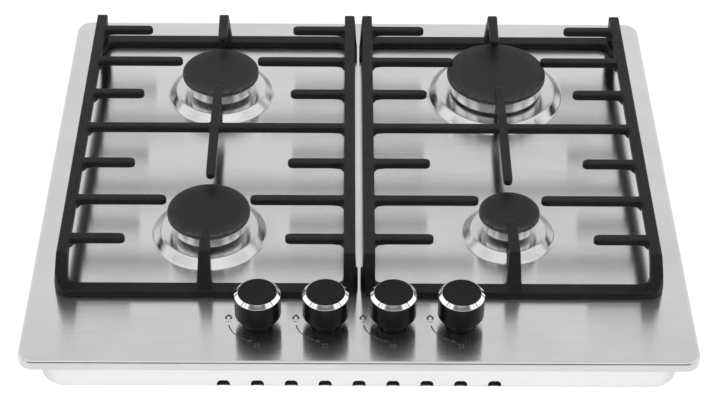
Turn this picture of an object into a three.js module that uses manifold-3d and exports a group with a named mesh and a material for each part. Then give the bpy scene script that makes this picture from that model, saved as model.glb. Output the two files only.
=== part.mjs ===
// A built-in gas hob with four burners and two cast pan supports, in millimetres.
// X runs left to right, Y front to back and Z up. The origin lies under the middle of the hob,
// on the surface that its base pan stands on.

import * as THREE from "three";
import { mergeVertices } from "three/addons/utils/BufferGeometryUtils.js";
import Module from "manifold-3d";

const wasm = await Module();
wasm.setup();

// ---------------------------------------------------------------- driving dimensions

// Gap between pieces that touch or slide on each other, and how far a cut or a join runs on past a face.
const SEAT = 0.3;
const OVERRUN = 1;

// Facets round a small, a middling and a larger turned piece.
const FEW_SIDES = 6;
const SOME_SIDES = 8;
const MORE_SIDES = 12;

// Pressed steel plate with a folded edge.
const PLATE_WIDTH = 580;
const PLATE_DEPTH = 508;
const PLATE_SHEET = 1;
const PLATE_TOP = 43.5;
const PLATE_CORNER_RADIUS = 14;
const PLATE_BEND_RADIUS = 2.5;
const PLATE_LIP = 9;

// Base pan under the plate.
const PAN_SIDE_INSET = 18;
const PAN_END_INSET = 17;
const PAN_SHEET = 1;
const PAN_CORNER_RADIUS = 20;
const PAN_BEND_RADIUS = 5;
const PAN_FLANGE = 4;
const VENT_COUNT = 9;
const VENT_PITCH = 29.2;
const VENT_LENGTH = 10.5;
const VENT_HEIGHT = 5;
const VENT_ABOVE_FLOOR = 2.2;

// Foam strip between the plate's rim and the worktop.
const SEAL_WIDTH = 6;
const SEAL_INSET = 2;

// Where the burners stand: on the middle line of each pan support, just in front of a row of fingers.
const BURNER_SPACING_X = 271;
const BURNER_ROW = 2;
const BURNER_FORWARD = 1.6;

// Pressed boss round each burner.
const BOSS_HEIGHT = 6.5;
const BOSS_SLOPE = 8;
const BOSS_EDGE = 1.6;

// Burner heights, all above the plate's top face.
const CAP_TOP = 27.6;
const CAP_THICKNESS = 3.2;
const CAP_SHOULDER = 1.6;
const CAP_OVERHANG = 3.4;
const CAP_SPIGOT_DEPTH = 2.4;
const SPIGOT_CLEARANCE = 1.2;
const CROWN_WALL = 4;
const CROWN_FLOOR = 2.4;
const CROWN_THROAT_RADIUS = 7.6;
const CROWN_STEM_RADIUS = 9.8;
const CROWN_STEM_DEPTH = 5;
const STEM_CLEARANCE = 0.6;
const CROWN_STEP = 0.8;
const PORT_WIDTH = 1.5;
const PORT_DEPTH = 3.6;
const BASE_INSET = 6.5;
const BASE_FLANGE = 2.6;
const BASE_HUB_DEPTH = 13;
const HOLDER_RADIUS = 7;
const HOLDER_TOP = -25;
const HOLDER_BOTTOM = -38;
const YOKE_THICKNESS = 3.5;
const YOKE_REACH = 12.6;
const YOKE_WIDTH = 10;

// Jet screwed into the holder under each burner.
const JET_STEM_RADIUS = 2.6;
const JET_STEM_DEPTH = 6;
const JET_HEX_RADIUS = 4.6;
const JET_HEX_HEIGHT = 4.5;
const JET_NOSE_HEIGHT = 3;
const JET_NOSE_RADIUS = 1.8;
const JET_BORE_RADIUS = 0.7;

// Spark electrode and flame sensor, behind each burner.
const PROBE_GAP = 5;
const ELECTRODE_RADIUS = 3;
const ELECTRODE_PIN_RADIUS = 0.9;
const ELECTRODE_ANGLE = 118;
const ELECTRODE_FOOT = -12;
const ELECTRODE_COLLAR = 1.2;
const ELECTRODE_SHOULDER = 10.5;
const ELECTRODE_TIP = 19;
const SENSOR_RADIUS = 2.2;
const SENSOR_NUT_RADIUS = 4.2;
const SENSOR_NUT_HEIGHT = 2.5;
const SENSOR_TIP_RADIUS = 1.8;
const SENSOR_ANGLE = 62;
const SENSOR_FOOT = -16;
const SENSOR_TIP = 18.5;
const PROBE_CLEARANCE = 0.5;
const HUB_CLEARANCE = 1;

// Three sizes of burner.
const RAPID = {
  capRadius: 48.3,
  bossRadius: 66,
  hubRadius: 30,
  crownFoot: 9.5,
  ports: 20,
  sides: 22,
};
const SEMI = {
  capRadius: 37.3,
  bossRadius: 51.5,
  hubRadius: 21,
  crownFoot: 11.2,
  ports: 16,
  sides: 18,
};
const SMALL = {
  capRadius: 27.4,
  bossRadius: 41.8,
  hubRadius: 12.6,
  crownFoot: 11.2,
  ports: 12,
  sides: 16,
};

// Control knobs, heights above the plate's top face.
const KNOB_SPACING = 58.1;
const KNOB_ROW_INSET = 49.5;
const KNOB_RADIUS = 19.9;
const KNOB_TOP = 36.3;
const KNOB_SKIRT = 11.4;
const KNOB_NECK_RADIUS = 13;
const KNOB_NECK_DIP = 2;
const KNOB_BEVEL = 3.5;
const KNOB_RING_LAND = 0.5;
const KNOB_SOCKET_DEPTH = 19;
const KNOB_TRAVEL = 3;
const NECK_CLEARANCE = 0.7;

// Gas valve under each knob.
const SPINDLE_RADIUS = 4;
const SPINDLE_FLAT = 2.6;
const SPINDLE_TAIL_RADIUS = 2.4;
const SPINDLE_TAIL = 13;
const VALVE_TOP = -9;
const VALVE_BOTTOM = -35;
const VALVE_RADIUS = 10.5;
const VALVE_WALL = 2.5;
const VALVE_COVER = 2.5;
const VALVE_COVER_REACH = 16;
const VALVE_COVER_EAR = 4.5;
const PLUG_TOP = -13;
const PLUG_LENGTH = 17;
const PLUG_TOP_RADIUS = 7;
const PLUG_TAPER = 2;
const PLUG_CLEARANCE = 0.6;
const SPINDLE_CLEARANCE = 0.6;
const PLUG_SOCKET_DEPTH = 12;
const OUTLET_RADIUS = 4.5;
const OUTLET_LENGTH = 8;

// Gas rail along the valves, and the pipes to the burners.
const RAIL_RADIUS = 7;
const RAIL_BEND_RADIUS = 24;
const RAIL_OVERRUN = 22;
const RAIL_SETBACK = 22.5;
const RAIL_LEVEL = -24;
const RAIL_BOSS_RADIUS = 5.5;
const RAIL_SIDE_GAP = 36;
const INLET_REACH = 12;
const INLET_RADIUS = 8.5;
const INLET_WALL = 2.5;
const INLET_HEX_RADIUS = 12;
const INLET_HEX_LENGTH = 9;
const PIPE_RADIUS = 2.5;
const PIPE_NUT_RADIUS = 4.6;
const PIPE_NUT_LENGTH = 8;
const PIPE_LEVEL = -31.5;
const PIPE_SWEEP = 0.55;

// Spark generator on the pan's floor.
const SPARK_WIDTH = 64;
const SPARK_DEPTH = 38;
const SPARK_HEIGHT = 24;
const SPARK_CORNER_RADIUS = 3;
const SPARK_EDGE = 1.2;
const SPARK_Y = 160;
const SPARK_TERMINAL_PITCH = 12;
const SPARK_TERMINAL_COUNT = 4;
const SPARK_TERMINAL_LENGTH = 7;
const SPARK_TERMINAL_RADIUS = 3;

// Worktop clamps on the pan's side walls.
const CLAMP_WIDTH = 18;
const CLAMP_SHEET = 1.5;
const CLAMP_REACH = 14;
const CLAMP_TOP = 30;
const CLAMP_FOOT = 6;
const CLAMP_SPACING = 300;

// Cast pan supports, heights above the plate's top face.
const GRATE_TOP = 41;
const GRATE_BACK_INSET = 34.2;
const GRATE_KNOB_GAP = 12.4;
const GRATE_END_LEAN = 12.3;
const GRATE_WIDTH = 259.5;
const GRATE_GAP = 7.5;
const GRATE_FLARE_OUTER = 4.8;
const GRATE_FLARE_INNER = 2.6;
const GRATE_EDGE = 0.9;
const RAIL_TOP_WIDTH = 10;
const GRATE_RAIL_DEPTH = 9.5;
const FINGER_WIDTH = 8.5;
const FINGER_DEPTH = 6.8;
const FINGER_ROWS = 3;
const FINGER_END_GAP = 23.2;
const FINGER_SHORT_GAP = 70;
const FINGER_FILLET = 2.4;
const FINGER_ROOT_DROP = 5.5;
const FINGER_ROOT_RUN = 13;
const FINGER_ROOT_LIP = 0.6;
const GRATE_BAR_WIDTH = 12.3;
const GRATE_BAR_HEIGHT = 7;
const GRATE_BASE_RADIUS = 15;
const GRATE_TAIL = 34;
const GRATE_TAIL_TIP = 3;
const LEG_THICKNESS = 12;
const LEG_FILLET = 8;
const LEG_GROWTH = 2.7;
const POST_ROOT_WIDTH = 10;
const POST_FLARE = 0.45;
const FRONT_POST_INSET = 3;

// ---------------------------------------------------------------- sizes worked out from them

const PLATE_UNDERSIDE = PLATE_TOP - PLATE_SHEET;
const PAN_WIDTH = PLATE_WIDTH - 2 * PAN_SIDE_INSET;
const PAN_LENGTH = PLATE_DEPTH - 2 * PAN_END_INSET;
const KNOB_ROW_Y = KNOB_ROW_INSET - PLATE_DEPTH / 2;
const GRATE_BACK_Y = PLATE_DEPTH / 2 - GRATE_BACK_INSET;
const GRATE_FRONT_Y = KNOB_ROW_Y + KNOB_RADIUS + GRATE_KNOB_GAP;
const GRATE_MIDDLE_Y = (GRATE_BACK_Y + GRATE_FRONT_Y) / 2;
const GRATE_BASE_HALF = (GRATE_BACK_Y - GRATE_FRONT_Y) / 2;
const GRATE_HALF = GRATE_BASE_HALF - GRATE_END_LEAN;
const FINGER_PITCH = (GRATE_HALF - FINGER_END_GAP) / FINGER_ROWS;
const BURNER_X = BURNER_SPACING_X / 2;
const CAP_UNDERSIDE = CAP_TOP - CAP_THICKNESS;
const CROWN_TOP = CAP_UNDERSIDE - SEAT;
const NECK_HOLE_RADIUS = KNOB_NECK_RADIUS + NECK_CLEARANCE;
const BOX_CUT = 2 * PLATE_WIDTH;
const HUB_SIDES = 16;
const PLUG_SIDES = 12;
const SPINDLE_SIDES = 10;
const KNOB_SIDES = 18;

// How near the side fingers, the post and the lengthwise finger come to each burner's axis.
const BURNERS = [
  { name: "front_left", side: -1, row: -1, size: SEMI, reach: { sides: 37.5, post: 39.5, bar: 34.2 } },
  { name: "back_left", side: -1, row: 1, size: SEMI, reach: { sides: 36.5, post: 36.2, bar: 40 } },
  { name: "back_right", side: 1, row: 1, size: RAPID, reach: { sides: 42.3, post: 32.8, bar: 41 } },
  { name: "front_right", side: 1, row: -1, size: SMALL, reach: { sides: 28, post: 27.9, bar: 26.6 } },
];
for (const burner of BURNERS) {
  burner.x = burner.side * BURNER_X;
  burner.y = GRATE_MIDDLE_Y + burner.row * BURNER_ROW * FINGER_PITCH - BURNER_FORWARD;
  burner.crownRadius = burner.size.capRadius - CAP_OVERHANG;
  burner.plateauRadius = burner.size.bossRadius - BOSS_SLOPE;
  burner.baseRadius = burner.crownRadius - BASE_INSET;
  burner.probeRadius = burner.crownRadius + PROBE_GAP;
}
const KNOB_X = BURNERS.map((_, i) => (i - (BURNERS.length - 1) / 2) * KNOB_SPACING);

// ---------------------------------------------------------------- solids

function solid(geometry) {
  const bare = geometry.index ? geometry.toNonIndexed() : geometry.clone();
  bare.deleteAttribute("normal");
  bare.deleteAttribute("uv");
  const merged = mergeVertices(bare, 1e-4);
  const corners = merged.index.array;
  const kept = [];
  for (let i = 0; i < corners.length; i += 3) {
    const [a, b, c] = corners.subarray(i, i + 3);
    if (a !== b && b !== c && c !== a) kept.push(a, b, c);
  }
  const vertProperties = new Float32Array(merged.attributes.position.array);
  const triVerts = new Uint32Array(kept);
  return new wasm.Manifold(new wasm.Mesh({ numProp: 3, vertProperties, triVerts }));
}

function geometryOf(manifold) {
  const mesh = manifold.getMesh();
  const points = new Float32Array(mesh.numVert * 3);
  for (let i = 0; i < mesh.numVert; i += 1) {
    points.set(mesh.vertProperties.subarray(i * mesh.numProp, i * mesh.numProp + 3), i * 3);
  }
  const geometry = new THREE.BufferGeometry();
  geometry.setAttribute("position", new THREE.BufferAttribute(points, 3));
  geometry.setIndex(new THREE.BufferAttribute(new Uint32Array(mesh.triVerts), 1));
  geometry.computeVertexNormals();
  return geometry;
}

// A profile of [radius, height] pairs, anticlockwise, turned about Z.
function revolve(profile, sides) {
  const points = profile.map(([radius, height]) => new THREE.Vector2(radius, height));
  return new THREE.LatheGeometry(points, sides).rotateX(Math.PI / 2);
}

function discProfile(radius, bottom, top) {
  return [[0, bottom], [radius, bottom], [radius, top], [0, top]];
}

function cylinder(radius, bottom, top, sides) {
  return revolve(discProfile(radius, bottom, top), sides);
}

function box(width, depth, height) {
  return new THREE.BoxGeometry(width, depth, height);
}

function roundedRectangle(width, depth, radius) {
  const shape = new THREE.Shape();
  const x = width / 2 - radius;
  const y = depth / 2 - radius;
  shape.absarc(x, y, radius, 0, Math.PI / 2);
  shape.absarc(-x, y, radius, Math.PI / 2, Math.PI);
  shape.absarc(-x, -y, radius, Math.PI, 1.5 * Math.PI);
  shape.absarc(x, -y, radius, 1.5 * Math.PI, 2 * Math.PI);
  return shape;
}

// A slab whose outline keeps its size, with both rims rounded inwards by the bevel.
function slab(shape, bottom, top, bevel, bevelSegments, curveSegments) {
  const geometry = new THREE.ExtrudeGeometry(shape, {
    depth: top - bottom - 2 * bevel,
    bevelEnabled: bevel > 0,
    bevelThickness: bevel,
    bevelSize: bevel,
    bevelOffset: -bevel,
    bevelSegments,
    curveSegments,
  });
  return geometry.translate(0, 0, bottom + bevel);
}

function extrudeAlong(section, curve, steps, curveSegments) {
  return new THREE.ExtrudeGeometry(section, { steps, extrudePath: curve, curveSegments });
}

function circle(radius) {
  const shape = new THREE.Shape();
  shape.absarc(0, 0, radius, 0, 2 * Math.PI);
  return shape;
}

// An outline in the YZ plane, [y, z] pairs, given a thickness along X.
function sideSlab(shape, thickness, curveSegments) {
  const geometry = new THREE.ExtrudeGeometry(shape, {
    depth: thickness,
    bevelEnabled: false,
    curveSegments,
  });
  return geometry.translate(0, 0, -thickness / 2).rotateY(Math.PI / 2).rotateX(Math.PI / 2);
}

function warp(geometry, move) {
  const position = geometry.attributes.position;
  const point = new THREE.Vector3();
  for (let i = 0; i < position.count; i += 1) {
    point.fromBufferAttribute(position, i);
    move(point);
    position.setXYZ(i, point.x, point.y, point.z);
  }
  return geometry;
}

function joined(first, ...others) {
  return others.reduce((sum, other) => sum.add(other), first);
}

// ---------------------------------------------------------------- materials

const FINISHES = {
  brushedSteel: { color: 0xc4c5c6, roughness: 0.32, metalness: 1 },
  galvanised: { color: 0xe6e6e4, roughness: 0.5, metalness: 0.3 },
  foam: { color: 0x26272a, roughness: 0.95, metalness: 0 },
  castEnamel: { color: 0x1d1d1e, roughness: 0.6, metalness: 0 },
  capEnamel: { color: 0x1b1b1c, roughness: 0.55, metalness: 0 },
  aluminium: { color: 0xcfd0d2, roughness: 0.25, metalness: 1 },
  castAluminium: { color: 0x9b9c9e, roughness: 0.5, metalness: 1 },
  brass: { color: 0xb9974f, roughness: 0.35, metalness: 1 },
  copper: { color: 0xb87352, roughness: 0.35, metalness: 1 },
  steel: { color: 0x9fa1a4, roughness: 0.4, metalness: 1 },
  ceramic: { color: 0xf1efe9, roughness: 0.3, metalness: 0 },
  knobPlastic: { color: 0x161617, roughness: 0.45, metalness: 0 },
  chrome: { color: 0xe8e9eb, roughness: 0.08, metalness: 1 },
  boxPlastic: { color: 0xdcdcd8, roughness: 0.5, metalness: 0 },
};

const hob = new THREE.Group();

function addPart(name, shape, finish, x = 0, y = 0, z = 0) {
  const geometry = shape.isBufferGeometry ? geometryOf(solid(shape)) : geometryOf(shape);
  const mesh = new THREE.Mesh(geometry, new THREE.MeshStandardMaterial(FINISHES[finish]));
  mesh.name = name;
  mesh.position.set(x, y, z);
  hob.add(mesh);
  return mesh;
}

// ---------------------------------------------------------------- plate

function probePosition(burner, angle) {
  const turn = THREE.MathUtils.degToRad(angle);
  return [
    burner.x + burner.probeRadius * Math.cos(turn),
    burner.y + burner.probeRadius * Math.sin(turn),
  ];
}

// The cone of one pressed boss with a softened rim. The hollow under it is a plain cone.
function bossProfile(burner) {
  const rim = BOSS_EDGE * (BOSS_HEIGHT / BOSS_SLOPE);
  return [
    [0, -PLATE_SHEET],
    [burner.size.bossRadius, -PLATE_SHEET],
    [burner.size.bossRadius, 0],
    [burner.plateauRadius + BOSS_EDGE, BOSS_HEIGHT - rim],
    [burner.plateauRadius - BOSS_EDGE, BOSS_HEIGHT],
    [0, BOSS_HEIGHT],
  ];
}

function bossHollowProfile(burner) {
  const outer = burner.size.bossRadius - PLATE_SHEET;
  const inner = burner.plateauRadius - 2 * PLATE_SHEET;
  return [
    [0, -2 * PLATE_SHEET],
    [outer, -2 * PLATE_SHEET],
    [outer, -PLATE_SHEET],
    [inner, BOSS_HEIGHT - PLATE_SHEET],
    [0, BOSS_HEIGHT - PLATE_SHEET],
  ];
}

function hobTop() {
  const inner = PLATE_BEND_RADIUS - PLATE_SHEET;
  const bottom = PLATE_TOP - PLATE_LIP;
  const outline = roundedRectangle(PLATE_WIDTH, PLATE_DEPTH, PLATE_CORNER_RADIUS);
  const innerOutline = roundedRectangle(
    PLATE_WIDTH - 2 * PLATE_SHEET,
    PLATE_DEPTH - 2 * PLATE_SHEET,
    PLATE_CORNER_RADIUS - PLATE_SHEET
  );
  const outerSolid = solid(slab(outline, bottom - PLATE_LIP, PLATE_TOP, PLATE_BEND_RADIUS, 2, 2));
  const innerSolid = solid(slab(innerOutline, bottom - 2 * PLATE_LIP, PLATE_UNDERSIDE, inner, 1, 2));
  const below = solid(box(BOX_CUT, BOX_CUT, 2 * PLATE_LIP).translate(0, 0, bottom - PLATE_LIP));
  let plate = outerSolid.subtract(below).subtract(innerSolid);
  for (const burner of BURNERS) {
    const { x, y, size } = burner;
    const cone = revolve(bossProfile(burner), size.sides);
    const hollow = revolve(bossHollowProfile(burner), size.sides);
    plate = plate.add(solid(cone.translate(x, y, PLATE_TOP)));
    plate = plate.subtract(solid(hollow.translate(x, y, PLATE_TOP)));
    const above = BOSS_HEIGHT + OVERRUN;
    const hole = cylinder(size.hubRadius + HUB_CLEARANCE, -PLATE_SHEET, above, HUB_SIDES);
    plate = plate.subtract(solid(hole.translate(x, y, PLATE_TOP)));
    for (const [angle, radius] of [[ELECTRODE_ANGLE, ELECTRODE_RADIUS], [SENSOR_ANGLE, SENSOR_RADIUS]]) {
      const [px, py] = probePosition(burner, angle);
      const small = cylinder(radius + PROBE_CLEARANCE, 0, above, FEW_SIDES);
      plate = plate.subtract(solid(small.translate(px, py, PLATE_TOP)));
    }
  }
  for (const x of KNOB_X) {
    const hole = cylinder(NECK_HOLE_RADIUS, -2 * PLATE_SHEET, PLATE_SHEET, MORE_SIDES);
    plate = plate.subtract(solid(hole.translate(x, KNOB_ROW_Y, PLATE_TOP)));
  }
  return plate;
}

// ---------------------------------------------------------------- base pan, seal and clamps

function railSideX() {
  return PAN_WIDTH / 2 - RAIL_SIDE_GAP;
}

function basePan() {
  const top = PLATE_UNDERSIDE - SEAT;
  const wall = roundedRectangle(PAN_WIDTH, PAN_LENGTH, PAN_CORNER_RADIUS);
  const hollow = roundedRectangle(
    PAN_WIDTH - 2 * PAN_SHEET,
    PAN_LENGTH - 2 * PAN_SHEET,
    PAN_CORNER_RADIUS - PAN_SHEET
  );
  const rim = roundedRectangle(
    PAN_WIDTH + 2 * PAN_FLANGE,
    PAN_LENGTH + 2 * PAN_FLANGE,
    PAN_CORNER_RADIUS + PAN_FLANGE
  );
  const bend = PAN_BEND_RADIUS;
  const outer = solid(slab(wall, 0, top + bend, bend, 2, 2));
  const flange = solid(slab(rim, top - PAN_SHEET, top, 0, 1, 2));
  const inner = solid(slab(hollow, PAN_SHEET, top + 2 * bend, bend - PAN_SHEET, 1, 2));
  const above = solid(box(BOX_CUT, BOX_CUT, 2 * bend).translate(0, 0, top + bend));
  let pan = outer.subtract(above).add(flange).subtract(inner);
  const ventBottom = PAN_SHEET + VENT_ABOVE_FLOOR;
  const slot = roundedRectangle(VENT_LENGTH, VENT_HEIGHT, 0.499 * VENT_HEIGHT);
  for (let i = 0; i < VENT_COUNT; i += 1) {
    const x = (i - (VENT_COUNT - 1) / 2) * VENT_PITCH;
    const cut = slab(slot, -2 * PAN_BEND_RADIUS, OVERRUN, 0, 1, 1).rotateX(Math.PI / 2);
    pan = pan.subtract(solid(cut.translate(x, -PAN_LENGTH / 2, ventBottom + VENT_HEIGHT / 2)));
  }
  const through = PAN_SHEET + OVERRUN;
  const inletHole = cylinder(INLET_RADIUS + PROBE_CLEARANCE, -through, through, MORE_SIDES);
  inletHole.rotateX(Math.PI / 2);
  return pan.subtract(solid(inletHole.translate(railSideX(), PAN_LENGTH / 2, PLATE_TOP + RAIL_LEVEL)));
}

function edgeSeal() {
  const outerInset = PLATE_SHEET + SEAL_INSET;
  const outer = roundedRectangle(
    PLATE_WIDTH - 2 * outerInset,
    PLATE_DEPTH - 2 * outerInset,
    PLATE_CORNER_RADIUS - outerInset
  );
  const innerInset = outerInset + SEAL_WIDTH;
  const inner = roundedRectangle(
    PLATE_WIDTH - 2 * innerInset,
    PLATE_DEPTH - 2 * innerInset,
    PLATE_CORNER_RADIUS - outerInset
  );
  outer.holes.push(inner);
  return slab(outer, PLATE_TOP - PLATE_LIP, PLATE_UNDERSIDE - SEAT, 0, 1, 1);
}

// A strip folded out from the wall, with a lip that bites into the worktop.
function clamp(side) {
  const outline = new THREE.Shape();
  outline.moveTo(0, CLAMP_FOOT);
  outline.lineTo(CLAMP_REACH, CLAMP_FOOT);
  outline.lineTo(CLAMP_REACH, CLAMP_FOOT + CLAMP_SHEET + CLAMP_SHEET);
  outline.lineTo(CLAMP_REACH - CLAMP_SHEET, CLAMP_FOOT + CLAMP_SHEET);
  outline.lineTo(CLAMP_SHEET, CLAMP_FOOT + CLAMP_SHEET);
  outline.lineTo(CLAMP_SHEET, CLAMP_TOP);
  outline.lineTo(0, CLAMP_TOP);
  outline.closePath();
  const strip = new THREE.ExtrudeGeometry(outline, { depth: CLAMP_WIDTH, bevelEnabled: false });
  strip.translate(0, 0, -CLAMP_WIDTH / 2).rotateX(Math.PI / 2);
  if (side < 0) strip.rotateZ(Math.PI);
  return strip;
}

// ---------------------------------------------------------------- burners

function burnerCap(burner) {
  const radius = burner.size.capRadius;
  const spigot = burner.crownRadius - CROWN_WALL - CROWN_STEP - SPIGOT_CLEARANCE;
  const profile = [
    [0, CAP_UNDERSIDE - CAP_SPIGOT_DEPTH],
    [spigot, CAP_UNDERSIDE - CAP_SPIGOT_DEPTH],
    [spigot, CAP_UNDERSIDE],
    [radius, CAP_UNDERSIDE],
    [radius, CAP_TOP - CAP_SHOULDER],
    [radius - CAP_SHOULDER / 3, CAP_TOP - CAP_SHOULDER / 3],
    [radius - CAP_SHOULDER, CAP_TOP],
    [0, CAP_TOP],
  ];
  return revolve(profile, burner.size.sides);
}

// A cup on a short hollow stem. Its upper rim is cut into teeth, and the gas leaves between them.
function burnerCrown(burner) {
  const { crownRadius: outer, size } = burner;
  const foot = size.crownFoot;
  const rim = outer - CROWN_STEP;
  const bore = rim - CROWN_WALL;
  const portFloor = CROWN_TOP - PORT_DEPTH;
  const floor = BOSS_HEIGHT + SEAT + BASE_FLANGE + SEAT;
  const profile = [
    [CROWN_THROAT_RADIUS, floor - CROWN_STEM_DEPTH],
    [CROWN_STEM_RADIUS, floor - CROWN_STEM_DEPTH],
    [CROWN_STEM_RADIUS, floor],
    [burner.baseRadius, floor],
    [outer, foot],
    [outer, portFloor],
    [rim, portFloor],
    [rim, CROWN_TOP],
    [bore, CROWN_TOP],
    [bore, foot + CROWN_FLOOR],
    [CROWN_THROAT_RADIUS, foot + CROWN_FLOOR],
    [CROWN_THROAT_RADIUS, floor - CROWN_STEM_DEPTH],
  ];
  let crown = solid(revolve(profile, size.ports));
  for (let i = 0; i < size.ports; i += 1) {
    const port = box(2 * CROWN_WALL, PORT_WIDTH, 2 * (PORT_DEPTH - CROWN_STEP));
    port.translate(rim - CROWN_WALL / 2, 0, CROWN_TOP);
    port.rotateZ(((i + 0.5) / size.ports) * 2 * Math.PI);
    crown = crown.subtract(solid(port));
  }
  return crown;
}

// Flange on the boss, hub through the plate and a yoke that carries the jet holder under it.
// The crown's stem stands in the hub.
function burnerBase(burner) {
  const seat = BOSS_HEIGHT + SEAT;
  const hub = burner.size.hubRadius;
  const bore = CROWN_STEM_RADIUS + STEM_CLEARANCE;
  const profile = [
    [bore, -BASE_HUB_DEPTH],
    [hub, -BASE_HUB_DEPTH],
    [hub, seat],
    [burner.baseRadius, seat],
    [burner.baseRadius, seat + BASE_FLANGE],
    [bore, seat + BASE_FLANGE],
    [bore, -BASE_HUB_DEPTH],
  ];
  const body = solid(revolve(profile, HUB_SIDES));
  const holder = solid(cylinder(HOLDER_RADIUS, HOLDER_BOTTOM, HOLDER_TOP, SOME_SIDES));
  const top = OVERRUN - BASE_HUB_DEPTH;
  const shelf = HOLDER_BOTTOM + 2 * YOKE_THICKNESS;
  const yokeShape = new THREE.Shape();
  yokeShape.moveTo(-YOKE_REACH, top);
  yokeShape.lineTo(-YOKE_REACH, HOLDER_BOTTOM);
  yokeShape.lineTo(YOKE_REACH, HOLDER_BOTTOM);
  yokeShape.lineTo(YOKE_REACH, top);
  yokeShape.lineTo(YOKE_REACH - YOKE_THICKNESS, top);
  yokeShape.lineTo(YOKE_REACH - YOKE_THICKNESS, shelf);
  yokeShape.lineTo(YOKE_THICKNESS - YOKE_REACH, shelf);
  yokeShape.lineTo(YOKE_THICKNESS - YOKE_REACH, top);
  yokeShape.closePath();
  const yoke = new THREE.ExtrudeGeometry(yokeShape, { depth: YOKE_WIDTH, bevelEnabled: false });
  yoke.translate(0, 0, -YOKE_WIDTH / 2).rotateX(Math.PI / 2);
  const socketFloor = HOLDER_TOP - JET_STEM_DEPTH - OVERRUN;
  const socket = cylinder(JET_STEM_RADIUS + SEAT, socketFloor, HOLDER_TOP + OVERRUN, FEW_SIDES);
  return joined(body, holder, solid(yoke)).subtract(solid(socket));
}

function jet() {
  const foot = HOLDER_TOP + SEAT;
  const shoulder = foot + JET_HEX_HEIGHT;
  const tip = shoulder + JET_NOSE_HEIGHT;
  const noseProfile = [[0, foot], [JET_STEM_RADIUS, foot], [JET_NOSE_RADIUS, tip], [0, tip]];
  const stem = solid(cylinder(JET_STEM_RADIUS, foot - JET_STEM_DEPTH, foot + OVERRUN, FEW_SIDES));
  const hex = solid(cylinder(JET_HEX_RADIUS, foot, shoulder, FEW_SIDES));
  const nose = solid(revolve(noseProfile, FEW_SIDES));
  const bore = solid(cylinder(JET_BORE_RADIUS, foot - 2 * JET_STEM_DEPTH, tip + OVERRUN, FEW_SIDES));
  return joined(stem, hex, nose).subtract(bore);
}

// A ceramic body with a collar over the boss, and the pin that the spark leaves from.
function electrode() {
  const profile = [
    [0, ELECTRODE_FOOT],
    [ELECTRODE_RADIUS, ELECTRODE_FOOT],
    [ELECTRODE_RADIUS, BOSS_HEIGHT + SEAT],
    [ELECTRODE_RADIUS + ELECTRODE_COLLAR, BOSS_HEIGHT + SEAT],
    [ELECTRODE_RADIUS, ELECTRODE_SHOULDER],
    [ELECTRODE_PIN_RADIUS, ELECTRODE_SHOULDER + ELECTRODE_PIN_RADIUS],
    [ELECTRODE_PIN_RADIUS, ELECTRODE_TIP],
    [0, ELECTRODE_TIP],
  ];
  return revolve(profile, FEW_SIDES);
}

function flameSensor() {
  const collar = BOSS_HEIGHT + SEAT;
  const profile = [
    [0, SENSOR_FOOT],
    [SENSOR_RADIUS, SENSOR_FOOT],
    [SENSOR_RADIUS, collar],
    [SENSOR_NUT_RADIUS, collar],
    [SENSOR_NUT_RADIUS, collar + SENSOR_NUT_HEIGHT],
    [SENSOR_RADIUS, collar + SENSOR_NUT_HEIGHT],
    [SENSOR_TIP_RADIUS, SENSOR_TIP],
    [0, SENSOR_TIP],
  ];
  return revolve(profile, FEW_SIDES);
}

// ---------------------------------------------------------------- knobs and valves

function knobBody() {
  const bore = SPINDLE_RADIUS + SEAT;
  const foot = -KNOB_NECK_DIP;
  const shelf = KNOB_TOP - KNOB_BEVEL - KNOB_RING_LAND - SEAT;
  const face = KNOB_RADIUS - KNOB_BEVEL - SEAT;
  const profile = [
    [0, foot + KNOB_SOCKET_DEPTH],
    [bore, foot + KNOB_SOCKET_DEPTH],
    [bore, foot],
    [KNOB_NECK_RADIUS, foot],
    [KNOB_NECK_RADIUS, KNOB_SKIRT],
    [KNOB_RADIUS, KNOB_SKIRT],
    [KNOB_RADIUS, shelf],
    [face, shelf],
    [face, KNOB_TOP],
    [0, KNOB_TOP],
  ];
  return revolve(profile, KNOB_SIDES);
}

function knobRing() {
  const land = KNOB_TOP - KNOB_BEVEL;
  const inner = KNOB_RADIUS - KNOB_BEVEL;
  const profile = [
    [inner, land - KNOB_RING_LAND],
    [KNOB_RADIUS, land - KNOB_RING_LAND],
    [KNOB_RADIUS, land],
    [inner, KNOB_TOP],
    [inner, land - KNOB_RING_LAND],
  ];
  return revolve(profile, KNOB_SIDES);
}

// The shaft that the knob is pushed on to: its tail slides in the plug and turns it.
function spindle() {
  const top = KNOB_SOCKET_DEPTH - KNOB_NECK_DIP - SEAT;
  const step = PLUG_TOP + KNOB_TRAVEL + SEAT;
  const shaft = solid(cylinder(SPINDLE_RADIUS, step, top, SPINDLE_SIDES));
  const tail = solid(cylinder(SPINDLE_TAIL_RADIUS, step - SPINDLE_TAIL, step + OVERRUN, SOME_SIDES));
  const flat = box(4 * SPINDLE_RADIUS, 2 * SPINDLE_RADIUS, top);
  flat.translate(0, SPINDLE_FLAT + SPINDLE_RADIUS, top / 2 + OVERRUN);
  return shaft.add(tail).subtract(solid(flat));
}

function plug() {
  const bottom = PLUG_TOP - PLUG_LENGTH;
  const socket = SPINDLE_TAIL_RADIUS + SEAT;
  const profile = [
    [0, bottom],
    [PLUG_TOP_RADIUS - PLUG_TAPER, bottom],
    [PLUG_TOP_RADIUS, PLUG_TOP],
    [socket, PLUG_TOP],
    [socket, PLUG_TOP - PLUG_SOCKET_DEPTH - KNOB_TRAVEL],
    [0, PLUG_TOP - PLUG_SOCKET_DEPTH - KNOB_TRAVEL],
  ];
  return revolve(profile, PLUG_SIDES);
}

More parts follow.
